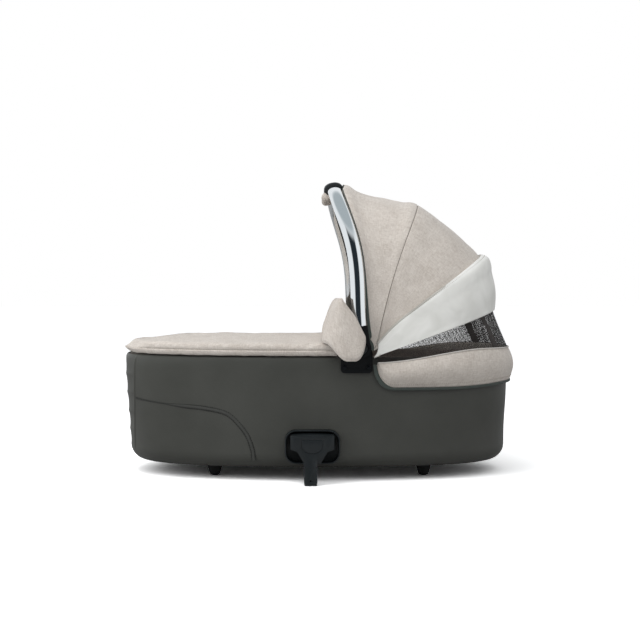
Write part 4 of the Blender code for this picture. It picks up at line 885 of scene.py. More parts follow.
@dataclass
class Tub:
    """The padded shell with its lining, board, mattress and feet."""

    finishes: Finishes
    foot_top_x: float = -0.4069
    foot_bottom_x: float = -0.3975
    head_top_x: float = 0.3945
    head_bottom_x: float = 0.3905
    half_width_top: float = 0.2150
    half_width_bottom: float = 0.2070
    exponent_top: float = 3.4
    exponent_bottom: float = 2.5
    bottom_z: float = 0.0260
    rim_z: float = 0.2466
    foot_rise: float = 0.0040
    bottom_radius: float = 0.0300
    wall: float = 0.0070
    rim_roll_height: float = 0.0220
    rim_roll_depth: float = 0.0058
    panel_seam_top_x: float = -0.3725
    panel_seam_bottom_x: float = -0.3827
    channel_pitch: float = 0.0390
    channel_depth: float = 0.0022
    panel_puff: float = 0.0012
    seam_width: float = 0.0016
    seam_depth: float = 0.0018
    dent_size: float = 0.1100
    dent_depth: float = 0.0007
    outline_run: float = 2.2
    columns: int = 252

    def share(self, z: Values) -> Values:
        """Share of the tub's height at a level."""
        return np.clip((z - self.bottom_z) / (self.rim_z - self.bottom_z), 0.0, 1.0)

    def sizes(self, z: float) -> tuple[float, float, float, float]:
        """Centre x, half length, half width and exponent of the outline at a level."""
        share = float(self.share(z))
        foot = mix(self.foot_bottom_x, self.foot_top_x, share)
        head = mix(self.head_bottom_x, self.head_top_x, share)
        return ((foot + head) / 2, (head - foot) / 2, mix(self.half_width_bottom, self.half_width_top, share),
                mix(self.exponent_bottom, self.exponent_top, float(smooth(share))))

    def outline(self, z: float, inset: float, shares: np.ndarray) -> np.ndarray:
        """Plan places on the outline at a level, spaced by run, from the head end round by +Y.

        Args:
            z: the level that sets the sizes.
            inset: how far the outline is drawn in.
            shares: places along it, 0 to 1.

        Returns:
            (n, 2) places.
        """
        centre, half_length, half_width, exponent = self.sizes(z)
        dense = superellipse(centre, half_length - inset, half_width - inset, exponent, 3001)
        return resample(dense, shares)

    def rise(self, x: Values) -> Values:
        """How much higher the rim lies towards the foot end."""
        return self.foot_rise * np.clip(x / self.foot_top_x, 0.0, 1.0) ** 2

    def ring(self, z: float, inset: float, shares: np.ndarray) -> np.ndarray:
        """Ring of places at a level; the level follows the rim's rise towards the top."""
        plan = self.outline(z, inset, shares)
        lift = self.rise(plan[:, 0]) * float(self.share(z)) ** 4
        return np.column_stack((plan, z + lift))

    def side_y(self, x: np.ndarray, z: np.ndarray) -> np.ndarray:
        """Half width of the shell at places of a side view."""
        found = []
        for place, level in zip(x, z):
            centre, half_length, half_width, exponent = self.sizes(level)
            inside = 1.0 - min(abs((place - centre) / half_length), 1.0) ** exponent
            found.append(half_width * inside ** (1.0 / exponent))
        return np.array(found)

    def seam_share(self, z: float) -> float:
        """Share of the outline's run at the foot panel's seam at a level, on the +Y side."""
        shares = np.linspace(0.25, 0.5, 2001)
        plan = self.outline(z, 0.0, shares)
        wanted = mix(self.panel_seam_bottom_x, self.panel_seam_top_x, float(self.share(z)))
        return float(shares[np.argmin(np.abs(plan[:, 0] - wanted))])

    def along_seam(self, z: float, shares: np.ndarray) -> np.ndarray:
        """Shares moved so that the columns beside the panel seams follow them at every level."""
        top, here = self.seam_share(self.rim_z), self.seam_share(z)
        return np.interp(shares, (0.0, 0.25, top, 0.5, 1.0 - top, 0.75, 1.0),
                         (0.0, 0.25, here, 0.5, 1.0 - here, 0.75, 1.0))

    def shares(self) -> np.ndarray:
        """Places round the shell, closer together beside the two panel seams."""
        seam, run = self.seam_share(self.rim_z), self.outline_run
        near = np.linspace(-0.009, 0.009, 13) / run
        even = np.arange(self.columns) / self.columns
        even = even[(np.abs(even - seam) > 0.010 / run) & (np.abs(even - 1.0 + seam) > 0.010 / run)]
        return np.sort(np.concatenate((even, seam + near, 1.0 - seam + near)))

    def skin(self) -> np.ndarray:
        """Grid of the outer skin, from the rim's inner edge over the rolled rim, down the side and under.

        The rim's roll is a quarter ellipse, the bottom edge a quarter circle. The foot panel is drawn in
        along level channels: depth * (1 - |sin(pi (rim - z) / pitch)|^0.6). The panel seams are grooves
        exp(-(run / width)^2).
        """
        shares = self.shares()
        rows = [(self.rim_roll_depth + 0.0026, self.rim_z - 0.0012),
                (self.rim_roll_depth + 0.0012, self.rim_z)]
        for turn in np.linspace(0.15, 0.5 * math.pi, 6):
            rows.append((self.rim_roll_depth * (1.0 - math.sin(turn)),
                         self.rim_z - self.rim_roll_height * (1.0 - math.cos(turn))))
        side = np.linspace(rows[-1][1], self.bottom_z + self.bottom_radius, 58)[1:]
        rows += [(0.0, z) for z in side]
        rows += corner_rows(0.0, self.bottom_z, self.bottom_radius, 9)
        rows += [(self.bottom_radius + extra, self.bottom_z) for extra in (0.02, 0.06, 0.12)]
        points = np.array([self.ring(z, inset, self.along_seam(z, shares)) for inset, z in rows])
        normals = grid_normals(points, True)
        level = points[..., 2]
        on_side = smooth((level - self.bottom_z - 0.012) / 0.03)
        on_side = on_side * smooth((self.rim_z + self.foot_rise - level) / 0.012)
        seam = self.seam_share(self.rim_z)
        run = self.outline_run * np.minimum(np.abs(shares - seam), np.abs(shares - 1.0 + seam))
        on_panel = smooth((self.outline_run * np.minimum(shares - seam, 1.0 - seam - shares)) / 0.02)
        wave = np.abs(np.sin(math.pi * (self.rim_z - level) / self.channel_pitch)) ** 0.6
        push = -self.channel_depth * (1.0 - wave) * on_panel[None] * on_side
        push += self.panel_puff * on_panel[None] * on_side
        push -= self.seam_depth * bump_at(run, 0.0, self.seam_width)[None] * on_side
        push += self.dent_depth * soft_noise(points, self.dent_size) * on_side
        return points + normals * push[..., None]

    def housing_cutter(self, side: int) -> Object:
        """Rounded block that opens the shell for one adapter housing."""
        low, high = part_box("adapter_housing_left" if side < 0 else "adapter_housing_right")
        gap, radius = 0.0004, 0.0224
        left, right, bottom, top = low[0] - gap, high[0] + gap, low[2] - gap, high[2] + gap
        turn = evenly_round(48)
        x = np.where(np.cos(turn) > 0, right - radius, left + radius) + radius * np.cos(turn)
        z = np.where(np.sin(turn) >= 0, top - radius, bottom + radius) + radius * np.sin(turn)
        inner_y, outer_y = 0.170, 0.240
        rings = [np.column_stack((x, np.full(len(x), side * y), z)) for y in (inner_y, outer_y)]
        return grid_object("housing_cutter", np.array(rings), [], wrap=True, capped=True)

    def build_shell(self) -> None:
        """Shell with rounded openings for the housings."""
        skin = self.skin()
        shell = grid_object("padded_shell", skin, [self.finishes.leatherette], wrap=True, flip=True)
        close_last_ring(shell, skin.shape[1])
        turn_faces(shell)
        thicken(shell, self.wall)
        for side in SIDES.values():
            cutter = self.housing_cutter(side)
            cut = shell.modifiers.new("opening", "BOOLEAN")
            cut.operation = "DIFFERENCE"
            cut.solver = "EXACT"
            cut.object = cutter
            settle(shell)
            bpy.data.objects.remove(cutter, do_unlink=True)
        shell.data.shade_smooth()
        shell.data.set_sharp_from_angle(angle=math.radians(50))
        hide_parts("tub_shell")
        wear(shell, "tub")

    def side_seam(self, name: str, side: int) -> None:
        """Seam that curves over the foot part of one side: one crease that opens to a flat-felled band."""
        marks = np.array([(-0.3744, 0.1600), (-0.3172, 0.1533), (-0.2745, 0.1491), (-0.2303, 0.1455),
                          (-0.1904, 0.1378), (-0.1727, 0.1279), (-0.1588, 0.1141), (-0.1450, 0.0963),
                          (-0.1375, 0.0812), (-0.1312, 0.0610), (-0.1290, 0.0420)])
        line = smooth_path(marks, 120)
        y = self.side_y(line[:, 0], line[:, 1])
        path = np.column_stack((line[:, 0], side * y, line[:, 1]))
        centre, half_length, half_width, exponent = self.sizes(0.12)
        off = (path[:, 0] - centre) / half_length
        normals = unit(np.column_stack((signed_power(off, exponent - 1.0) / half_length,
                                        side * (y / half_width) ** (exponent - 1.0) / half_width,
                                        np.full(len(y), -0.15))))
        tangent = unit(np.gradient(path, axis=0))
        across = np.cross(normals, tangent)
        opened = smooth((path[:, 0] + 0.315) / 0.060)
        welt = sweep_grid(path, across, mix(0.0006, 0.0030, opened), mix(0.0006, 0.0010, opened), 12, 3.0)
        # The band's darker leatherette is painted shade of the seam.
        band = grid_object(f"side_seam_{name}", round_ends(welt), [self.finishes.welt_leatherette_painted_shade],
                           wrap=True, capped=True)
        rows = []
        for shift in (-0.0038, 0.0038):
            aside = across * (shift * mix(0.25, 1.0, opened))[:, None]
            rows.append(stitch_row("row", path + aside + normals * 0.0006, normals, self.finishes.thread,
                                   pitch=0.0048, length=0.0040, radius=0.0006))
        whole = join_as(f"felled_seam_{name}", [band] + rows)
        wear(whole, "tub")

    def build_lining(self) -> None:
        """Lining: over the padded rim, down the inside with soft gathers, and flat on the board."""
        shares = np.arange(200) / 200
        rim_inset, rim_radius = 0.0153, 0.0074
        rows = []
        for turn in np.linspace(-0.1, math.pi, 10):
            rows.append((rim_inset - rim_radius * math.cos(turn),
                         self.rim_z - 0.0072 + rim_radius * math.sin(turn)))
        wall_inset, floor_z, radius = 0.0232, 0.0410, 0.0200
        rows += [(wall_inset, z) for z in np.linspace(self.rim_z - 0.012, floor_z + radius, 16)]
        rows += corner_rows(wall_inset, floor_z, radius, 7)
        points = np.array([self.ring(z, inset, shares) for inset, z in rows])
        normals = grid_normals(points, True)
        level = points[..., 2]
        on_wall = smooth((self.rim_z - 0.012 - level) / 0.03) * smooth((level - floor_z) / 0.02)
        gather = soft_noise(points * (1.0, 1.0, 0.25), 0.055, SEED + 1)
        points = points - normals * ((0.0011 * gather + 0.0011) * on_wall)[..., None]
        # The lining's dark brown is painted shade.
        lining = grid_object("cotton_lining", points, [self.finishes.lining], wrap=True)
        close_last_ring(lining, len(shares))
        turn_faces(lining, inwards=True)
        thicken(lining, 0.0008)
        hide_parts("inner_lining")
        wear(lining, "tub")

    def build_mattress(self) -> None:
        """Mattress: crowned, drawn in along its side and piped along both edges."""
        low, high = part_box("mattress")
        shares = np.arange(220) / 220
        base, top = low[2], high[2] - 0.009
        rows = []
        for turn in np.linspace(-0.5 * math.pi, 0.5 * math.pi, 15):
            puff = abs(math.cos(turn)) ** 0.45
            waist = 0.0022 * math.exp(-(turn / 0.5) ** 2)
            rows.append((0.0455 - 0.013 * puff + waist, mix(base + 0.0008, top, 0.5 + 0.5 * math.sin(turn))))
        points = [np.column_stack((self.outline(z, inset, shares), np.full(len(shares), z)))
                  for inset, z in rows]
        edge = points[-1]
        centre = edge[:, :2].mean(axis=0)
        for share in np.linspace(0.0, 0.97, 30)[1:]:
            ring = edge.copy()
            ring[:, :2] = mix(edge[:, :2], centre, share)
            ring[:, 2] = top + 0.0085 * math.sin(0.5 * math.pi * min(share / 0.5, 1.0))
            points.append(ring)
        points = np.array(points)
        lozenge, quilt_depth = math.pi / 0.046, 0.0024
        x, y = points[..., 0], points[..., 1]
        quilt = np.abs(np.sin((x + y) * lozenge) * np.sin((x - y) * lozenge)) ** 0.4
        on_top = smooth((points[..., 2] - top + 0.002) / 0.004)
        points[..., 2] -= quilt_depth * (1.0 - quilt) * on_top
        mattress = grid_object("quilted_mattress", points, [self.finishes.quilt], wrap=True, capped=True)
        cords, cord_rows = [], (3, 11)
        for row in cord_rows:
            path = np.concatenate((points[row], points[row, :1]))
            ring = sweep_grid(path, UP, 0.0013, 0.0013, 8)
            cord = grid_object("cord", ring[:-1], [self.finishes.woven_pale], wrap=True)
            close_loop(cord, len(path) - 1, 8)
            cords.append(cord)
        whole = join_as("mattress_cushion", [mattress] + cords)
        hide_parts("mattress")
        wear(whole, "tub")

    def build(self) -> None:
        """Builds every piece of the tub."""
        self.build_shell()
        for name, side in SIDES.items():
            self.side_seam(name, side)
        self.build_lining()
        self.build_mattress()
        for node, finish in (("rim_frame", self.finishes.aluminium), ("base_board", self.finishes.board)):
            dress(node, finish)
        for end in ("foot_end", "head_end"):
            for side in SIDES:
                foot = refined_copy(f"rubber_foot_{end}_{side}", f"foot_{end}_{side}", self.finishes.rubber,
                                    0.0065, 5)
                wear(foot, "tub")


@dataclass
class Hardware:
    """Adapters, hinge stacks and bows: every rigid piece that is copied with rounded edges."""

    finishes: Finishes
    leg_hole_at: tuple[float, float, float] = (-0.0162, 0.2500, 0.0095)
    leg_hole_radius: float = 0.0021
    leg_web: float = 0.0020

    def close_leg_hole(self, side: str) -> None:
        """Thin web near the back of a leg's hole, in the darker nylon as painted shade: two rings of a circle
        x = r cos(t), z = r sin(t).
        """
        x, y, z = self.leg_hole_at
        turn = evenly_round(16)
        rings = [np.column_stack((x + self.leg_hole_radius * np.cos(turn),
                                  np.full(turn.shape, SIDES[side] * (y + depth)),
                                  z + self.leg_hole_radius * np.sin(turn))) for depth in (0.0, self.leg_web)]
        web = grid_object(f"leg_hole_web_{side}", np.array(rings), [self.finishes.plastic_in_painted_shade], wrap=True,
                          capped=True)
        wear(web, "tub")

    def build(self) -> None:
        """Builds the refined copies, each on the body that carries it."""
        looks = self.finishes
        for side in SIDES:
            pieces = [(f"adapter_housing_{side}", "tub", looks.plastic, 0.0010, "black_plastic"),
                      (f"adapter_arm_{side}", "tub", looks.plastic, 0.0011, "black_plastic"),
                      (f"adapter_button_{side}", f"adapter_button_{side}", looks.button, 0.0008,
                       "button_plastic"),
                      # The hinge plate and the hub below take the darker nylon, painted shade for where they
                      # sit.
                      (f"hinge_plate_{side}", "tub", looks.plastic_in_painted_shade, 0.0007, "black_plastic"),
                      (f"hinge_screw_{side}_1", "tub", looks.black_steel, 0.0003, "screw_steel"),
                      (f"hinge_screw_{side}_2", "tub", looks.black_steel, 0.0003, "screw_steel"),
                      (f"hinge_pin_{side}", "tub", looks.steel, 0.0003, "screw_steel"),
                      (f"handle_hub_{side}", "handle", looks.plastic_in_painted_shade, 0.0009, "black_plastic"),
                      (f"hood_button_{side}", f"hood_button_{side}", looks.button, 0.0007, "button_plastic")]
            for node, body, finish, rounding, slot in pieces:
                wear(refined_copy(node, f"{node}_moulded", finish, rounding), body)
            self.close_leg_hole(side)
        for node in ("rear_bow", "middle_bow"):
            wear(refined_copy(node, f"{node}_strip", looks.steel, 0.0004), node)


@dataclass
class HoodShape:
    """Lines that the handle and the hood's cloth share: arches about one pivot."""

    pivot_x: float = 0.0838
    pivot_z: float = 0.2650
    handle_angle: float = math.radians(99.4)
    handle_radius: float = 0.3340
    handle_half_width: float = 0.2369
    handle_bulge_size: float = 0.0155
    middle_angle: float = math.radians(67.4)
    rear_angle: float = math.radians(36.5)
    middle_radius: float = 0.3215
    rear_radius: float = 0.3145
    cloth_half_width: float = 0.2282
    skirt_radius: float = 0.3135
    canopy_first: float = 0.0195
    seams_meet: float = 0.0262
    lower_first: float = 0.0310
    middle_sweep: tuple[float, float] = (0.0305, 0.2500)
    rear_sweep: tuple[float, float] = (0.0220, 0.1100)
    front_sweep: tuple[float, float] = (0.0050, 0.0600)
    hem_off_side: float = 0.0152
    hem_off_crown: float = 0.0212

    def arch(self, radius: float, half_width: float, first: float,
             steps: int) -> tuple[np.ndarray, np.ndarray]:
        """Arch from the left side to the right: away = R sin(t)^(2/3), y = -W sgn(cos t)|cos t|^(2/3).

        Args:
            radius: distance from the pivot at the crown.
            half_width: half the arch's width.
            first: distance from the pivot at its ends.
            steps: number of places, evenly spaced by run.

        Returns:
            Distance from the pivot and y, one each for every place.
        """
        start = math.asin((first / radius) ** 1.5)
        turn = np.linspace(start, math.pi - start, 4001)
        away = radius * np.sin(turn) ** (2.0 / 3.0)
        y = -half_width * signed_power(np.cos(turn), 2.0 / 3.0)
        even = resample(np.column_stack((away, y)), np.linspace(0.0, 1.0, steps))
        return even[:, 0], even[:, 1]

    def place(self, angle: Values, away: Values, y: Values) -> np.ndarray:
        """Places at angles about the pivot and at distances from it."""
        return np.stack(np.broadcast_arrays(self.pivot_x + away * np.cos(angle), y,
                                            self.pivot_z + away * np.sin(angle)), axis=-1)

    def bulge(self, away: Values) -> Values:
        """How far the handle bows out of its plane to the head: size * sin(pi * (away / R)^1.15)^1.8."""
        share = np.clip(away / self.handle_radius, 0.0, 1.0) ** 1.15
        return self.handle_bulge_size * np.maximum(np.sin(math.pi * share), 0.0) ** 1.8

    def beside(self, plane: float, offset: Values, away: Values) -> Values:
        """Angle of a line beside a plane, an offset towards the head: plane - asin(offset / away)."""
        return plane - np.arcsin(np.clip(offset / away, -1.0, 1.0))

    def sweep_off(self, size: float, end: float, away: Values) -> Values:
        """How far a seam swings off its plane near the hub: size * (1 - away / end)^2."""
        return size * np.clip(1.0 - away / end, 0.0, 1.0) ** 2

    def middle_seam(self, share: Values) -> Values:
        """Angle of the seam over the middle bow at a share of the crown's distance."""
        away = self.middle_radius * share
        return self.beside(self.middle_angle, self.sweep_off(*self.middle_sweep, away), away)

    def rear_seam(self, offset: float, share: Values) -> Values:
        """Angle of a line beside the seam over the rear bow."""
        away = self.rear_radius * share
        return self.beside(self.rear_angle, offset + self.sweep_off(*self.rear_sweep, away), away)

    def front_hem(self, share: Values) -> Values:
        """Angle of the hem behind the handle."""
        away = self.handle_radius * share
        near_crown = smooth((share - 0.950) / 0.035)
        offset = mix(self.hem_off_side, self.hem_off_crown, near_crown) + self.bulge(away)
        return self.beside(self.handle_angle, offset + self.sweep_off(*self.front_sweep, away), away)

    def handle_ways(self) -> tuple[np.ndarray, np.ndarray]:
        """Direction from the pivot to the handle's crown, and the one square to the handle's plane."""
        out = np.array((math.cos(self.handle_angle), 0.0, math.sin(self.handle_angle)))
        return out, np.array((out[2], 0.0, -out[0]))

    def along_handle(self, steps: int, first: float, towards_head: Values, inward: Values) -> np.ndarray:
        """Line that runs beside the handle's centre line.

        Args:
            steps: number of places.
            first: distance from the pivot where it starts.
            towards_head: offset square to the handle's plane.
            inward: offset towards the inside of the arch.

        Returns:
            (steps, 3) places.
        """
        away, y = self.arch(self.handle_radius, self.handle_half_width, first, steps)
        out, across = self.handle_ways()
        drawn = away * (1.0 - inward / self.handle_radius)
        path = np.outer(drawn, out) + np.outer(self.bulge(away) + towards_head, across)
        path += (self.pivot_x, 0.0, self.pivot_z)
        path[:, 1] = y * (1.0 - inward / self.handle_half_width)
        return path


@dataclass
class Handle:
    """Chrome oval tube over the hood's front with its soft sleeve and the cloth hem round it."""

    finishes: Finishes
    shape: HoodShape
    half_width: float = 0.0140
    half_thickness: float = 0.0075
    start: float = 0.0300
    grip_half_length: float = 0.0950
    grip_half_width: float = 0.01925
    grip_half_thickness: float = 0.0130
    hem_half_length: float = 0.1050

    def build(self) -> None:
        """Builds the tube, the sleeve and the hem."""
        _, across = self.shape.handle_ways()
        path = self.shape.along_handle(240, self.start, 0.0, 0.0)
        tube = grid_object("chrome_tube", sweep_grid(path, across, self.half_width, self.half_thickness, 64),
                           [self.finishes.chrome], wrap=True, capped=True)
        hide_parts("handle_tube")
        wear(tube, "handle")
        fine = self.shape.along_handle(2000, self.start, 0.0, 0.0)
        part = fine[np.abs(fine[:, 1]) <= self.grip_half_length]
        part = resample(part, np.linspace(0.0, 1.0, 70))
        edge = np.minimum(part[:, 1] + self.grip_half_length, self.grip_half_length - part[:, 1])
        end_depth, end_run = 0.0042, 0.0060
        drawn = end_depth * (1.0 - np.sqrt(1.0 - (1.0 - np.clip(edge / end_run, 0.0, 1.0)) ** 2))
        sleeve = grid_object("grip_sleeve", sweep_grid(part, across, self.grip_half_width - drawn,
                                                       self.grip_half_thickness - drawn, 48, 2.2),
                             [self.finishes.foam], wrap=True, capped=True)
        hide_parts("handle_grip")
        wear(sleeve, "handle")
        self.build_hem()

    def build_hem(self) -> None:
        """Cloth hem: from the canopy's edge, under the grip, to a soft roll before it, with tapered ends."""
        steps, start = 1200, 0.075
        roll = np.linspace(0.5 * math.pi, 2.4 * math.pi, 18)
        marks = [(21.8, 2.0), (20.6, 10.0), (13.0, 16.0), (2.0, 18.8), (-9.0, 20.4)]
        marks += [(-18.2 + 7.0 * math.cos(turn), 14.0 + 7.0 * math.sin(turn)) for turn in roll]
        profile = smooth_path(np.array(marks) / 1000, 70)
        centre = self.shape.along_handle(steps, start, 0.0, 0.0)
        near = np.flatnonzero(np.abs(centre[:, 1]) <= self.hem_half_length)[::4]
        full = smooth((self.hem_half_length - np.abs(centre[near, 1])) / 0.036) ** 0.6
        lines = []
        for towards_head, inward in profile:
            wide = np.zeros(steps)
            wide[near] = full
            lines.append(self.shape.along_handle(steps, start, mix(0.0205, towards_head, wide),
                                                 mix(0.0040, inward, wide))[near])
        points = np.stack(lines, axis=1)
        points += grid_normals(points) * (0.0005 * soft_noise(points, 0.05))[..., None]
        hem = grid_object("rolled_hem", points, [self.finishes.woven], flip=True)
        thicken(hem, 0.0012)
        wear(hem, "handle")


@dataclass
class Hood:
    """Cloth of the hood: front and rear panel, vent flap, net, skirt with piping, and their trim."""

    finishes: Finishes
    shape: HoodShape
    tub: Tub
    columns: int = 220
    turned_in: float = 0.0030
    skirt_front_x: float = 0.1148
    skirt_top_front_z: float = 0.2362
    skirt_top_rear_z: float = 0.2625
    skirt_side_z: float = 0.1870
    skirt_rear_z: float = 0.1965
    skirt_corner_run: float = 0.0390
    skirt_off_tub: float = 0.0070
    skirt_least_off_tub: float = 0.0048
    skirt_over_rim_z: float = 0.2496

    def row(self, half_width: float, first: float) -> tuple[np.ndarray, np.ndarray]:
        """Shares of the crown's distance, and y, along cloth that starts at a distance from the pivot."""
        return self.shape.arch(1.0, half_width, first / self.shape.skirt_radius, self.columns)

    def edge_rows(self, size: float, count: int) -> np.ndarray:
        """Shares across a panel, closer together at both edges."""
        close = np.array((0.0, 0.0012, 0.0024, 0.0038, 0.006)) / size
        return np.concatenate((close, np.linspace(0.011 / size, 1.0 - 0.011 / size, count),
                               1.0 - close[::-1]))

    def dip(self, run: np.ndarray) -> np.ndarray:
        """How far the cloth turns in at an edge: depth * (1 - sqrt(1 - (1 - run / depth)^2))."""
        inside = np.clip(1.0 - run / self.turned_in, 0.0, 1.0)
        return self.turned_in * (1.0 - np.sqrt(1.0 - inside ** 2))

    def panel(self, crown_marks: Sequence[tuple[float, float]], start: Callable[[Values], Values],
              end: Callable[[Values], Values], half_width: float, count: int,
              first: float) -> tuple[np.ndarray, np.ndarray]:
        """Curved panel between two lines on the arches.

        Args:
            crown_marks: (angle in degrees, distance from the pivot) along the crown, from start to end.
            start: angle of the first edge as a function of the arch's share.
            end: angle of the last edge.
            half_width: half the hood's width here.
            count: number of rows.
            first: distance from the pivot where the panel starts at each side.

        Returns:
            The (rows, columns, 3) grid, and the rows' shares.
        """
        marks = np.array(crown_marks)
        size = float(marks[:, 1].mean() * math.radians(abs(marks[0, 0] - marks[-1, 0])))
        shares = self.edge_rows(size, count)
        fine = smooth_path(marks, 400)
        angles = mix(marks[0, 0], marks[-1, 0], shares)
        crown = np.interp(-angles, -fine[:, 0], fine[:, 1])
        run = np.minimum(shares, 1.0 - shares) * size
        crown = crown - self.dip(run)
        away, y = self.row(half_width, first)
        held = np.maximum(away, self.shape.seams_meet / self.shape.skirt_radius)
        angles = mix(start(held)[None], end(held)[None], shares[:, None])
        return self.shape.place(angles, crown[:, None] * away[None], y[None]), shares

    def build_panels(self) -> None:
        """Front and rear panel, woven outside and cotton inside."""
        shape = self.shape
        front = [(96.0, 0.3405), (93.7, 0.3362), (90.8, 0.3245), (86.5, 0.3168),
                 (81.5, 0.3137), (74.0, 0.3140), (69.7, 0.3205), (67.4, 0.3209)]
        rear = [(67.4, 0.3202), (63.0, 0.3170), (55.9, 0.3115),
                (48.6, 0.3108), (41.0, 0.3132), (37.4, 0.3145)]
        jobs = [("canopy_front", "hood_front_panel", front, shape.front_hem, shape.middle_seam,
                 "handle", "middle_bow"),
                ("canopy_rear", "hood_rear_panel", rear, shape.middle_seam,
                 lambda a: shape.rear_seam(0.006, a), "middle_bow", "rear_bow")]
        for node, name, marks, start, end, first, second in jobs:
            grid, shares = self.panel(marks, start, end, shape.cloth_half_width, 54, shape.canopy_first)
            run = np.minimum(shares, 1.0 - shares)[:, None]
            creases = 0.0011 * soft_noise(grid * (1.0, 0.6, 1.0), 0.085, SEED + 3)
            creases += 0.0004 * soft_noise(grid, 0.03)
            grid = grid + grid_normals(grid) * (creases * smooth(run / 0.12))[..., None]
            piece = grid_object(name, grid, [self.finishes.woven, self.finishes.inside], flip=True)
            thicken(piece, 0.0014, inner_slot=1, even=False)
            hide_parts(node)
            bend_between(piece, first, second)

    def build_flap(self) -> None:
        """Vent flap: a folded cloth, turned down at its front edge, with a stitched hem."""
        shape = self.shape
        marks = [(37.6, 0.3222), (34.85, 0.3286), (31.8, 0.3247), (29.0, 0.3179),
                 (22.8, 0.3107), (16.8, 0.2993), (14.4, 0.2950)]

        def lower(share: Values) -> Values:
            """Angle of the flap's lower edge."""
            return shape.beside(math.radians(19.5), 0.0245, 0.2950 * share)

        half_width, edge_half_width = 0.2314, 0.2291
        grid, shares = self.panel(marks, lambda a: shape.rear_seam(-0.0015, a), lower, half_width, 40,
                                  shape.lower_first)
        away, y = self.row(edge_half_width, shape.lower_first)
        turned_crown = np.array((0.3162, 0.3192))
        turned = shape.place(shape.rear_seam(0.0012, away)[None], turned_crown[:, None] * away[None], y[None])
        grid = np.concatenate((turned, grid))
        inner = np.concatenate((np.zeros(2), smooth(np.minimum(shares, 1.0 - shares) / 0.15)))
        length, hem_width = 0.1350, 0.0095
        run = np.concatenate((np.zeros(2), shares * length))
        push = 0.0010 * soft_noise(grid, 0.07, SEED + 4) * inner[:, None]
        hem = 0.0007 * smooth((hem_width - run) / 0.0012) - 0.0005 * bump_at(run, 0.0100, 0.0008)
        push += hem[:, None]
        grid = grid + grid_normals(grid) * push[..., None]
        looks = [self.finishes.cotton, self.finishes.hem, self.finishes.inside, self.finishes.inside]
        piece = grid_object("vent_flap_cloth", grid, looks, flip=True)
        hemmed = np.repeat(((run[1:] + run[:-1]) / 2 < hem_width).astype(np.int32), grid.shape[1] - 1)
        piece.data.polygons.foreach_set("material_index", hemmed)
        thicken(piece, 0.0018, inner_slot=2, even=False)
        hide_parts("vent_flap")
        bend_between(piece, "rear_bow", "tub")
        row = int(np.argmin(np.abs(run - 0.0085)))
        stitches = stitch_row("vent_flap_stitches", grid[row], -grid_normals(grid)[row],
                              self.finishes.pale_thread)
        wear(stitches, "rear_bow")

    def skirt_top(self, x: Values) -> Values:
        """Level of the skirt's top edge, rising towards the head end."""
        return mix(self.skirt_top_front_z, self.skirt_top_rear_z, smooth((x - self.skirt_front_x) / 0.22))

    def build_net(self) -> None:
        """Net from the rear bow down to the skirt, with a binding tape near each rear corner and a closer net
        in its rear middle as painted shade.
        """
        shape = self.shape
        half_width, top_crown, low_crown = 0.2266, 0.3129, 0.3120
        away, y = self.row(half_width, shape.lower_first)
        top_away = top_crown * away
        top_angle = shape.rear_seam(0.0066, away)
        x = low_crown * away
        z = self.skirt_top(shape.pivot_x + shape.skirt_radius * away) + 0.0006 - shape.pivot_z
        low_away, low_angle = np.hypot(x, z), np.arctan2(z, x)
        shares = np.linspace(0.0, 1.0, 46)[:, None]
        angle = mix(top_angle[None], low_angle[None], shares)
        spread = (top_angle - low_angle) / 2
        chord = np.cos(spread) / np.cos(angle - (top_angle + low_angle) / 2)
        sag = 0.0080 * np.sin(math.pi * shares) * away
        grid = shape.place(angle, mix(top_away, low_away, shares) * chord - sag, y[None])
        push = 0.0012 * soft_noise(grid, 0.08, SEED + 5) * np.sin(math.pi * shares)
        grid += grid_normals(grid) * push[..., None]
        looks = [self.finishes.net, self.finishes.net_tape, self.finishes.dense_net_painted_shade]
        piece = grid_object("vent_net_cloth", grid, looks, flip=True)
        centres = np.empty(len(piece.data.polygons) * 3)
        piece.data.polygons.foreach_get("center", centres)
        # Painted shade: the rear middle takes the closer net, darker where the hood's inside is shaded.
        rear_x, dense_painted_shade_y, tape_y, tape_half_width = 0.2500, 0.1500, 0.1550, 0.0080
        behind, aside = centres[::3] > rear_x, np.abs(centres[1::3])
        kind = np.where(behind & (aside < dense_painted_shade_y), 2,
                        np.where(behind & (np.abs(aside - tape_y) < tape_half_width), 1, 0))
        piece.data.polygons.foreach_set("material_index", kind.astype(np.int32))
        thicken(piece, 0.0007)
        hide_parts("vent_net")
        bend_between(piece, "rear_bow", "tub")

    def tub_reach(self, direction: np.ndarray, z: float) -> np.ndarray:
        """Distance from the pivot's plan point to the tub's outline in each direction, by halving."""
        centre, half_length, half_width, exponent = self.tub.sizes(z)
        low, high = np.zeros(len(direction)), np.full(len(direction), 1.5)
        for _ in range(40):
            middle = (low + high) / 2
            x = np.abs(self.shape.pivot_x + middle * np.cos(direction) - centre) / half_length
            inside = x ** exponent + np.abs(middle * np.sin(direction) / half_width) ** exponent < 1.0
            low, high = np.where(inside, middle, low), np.where(inside, high, middle)
        return low

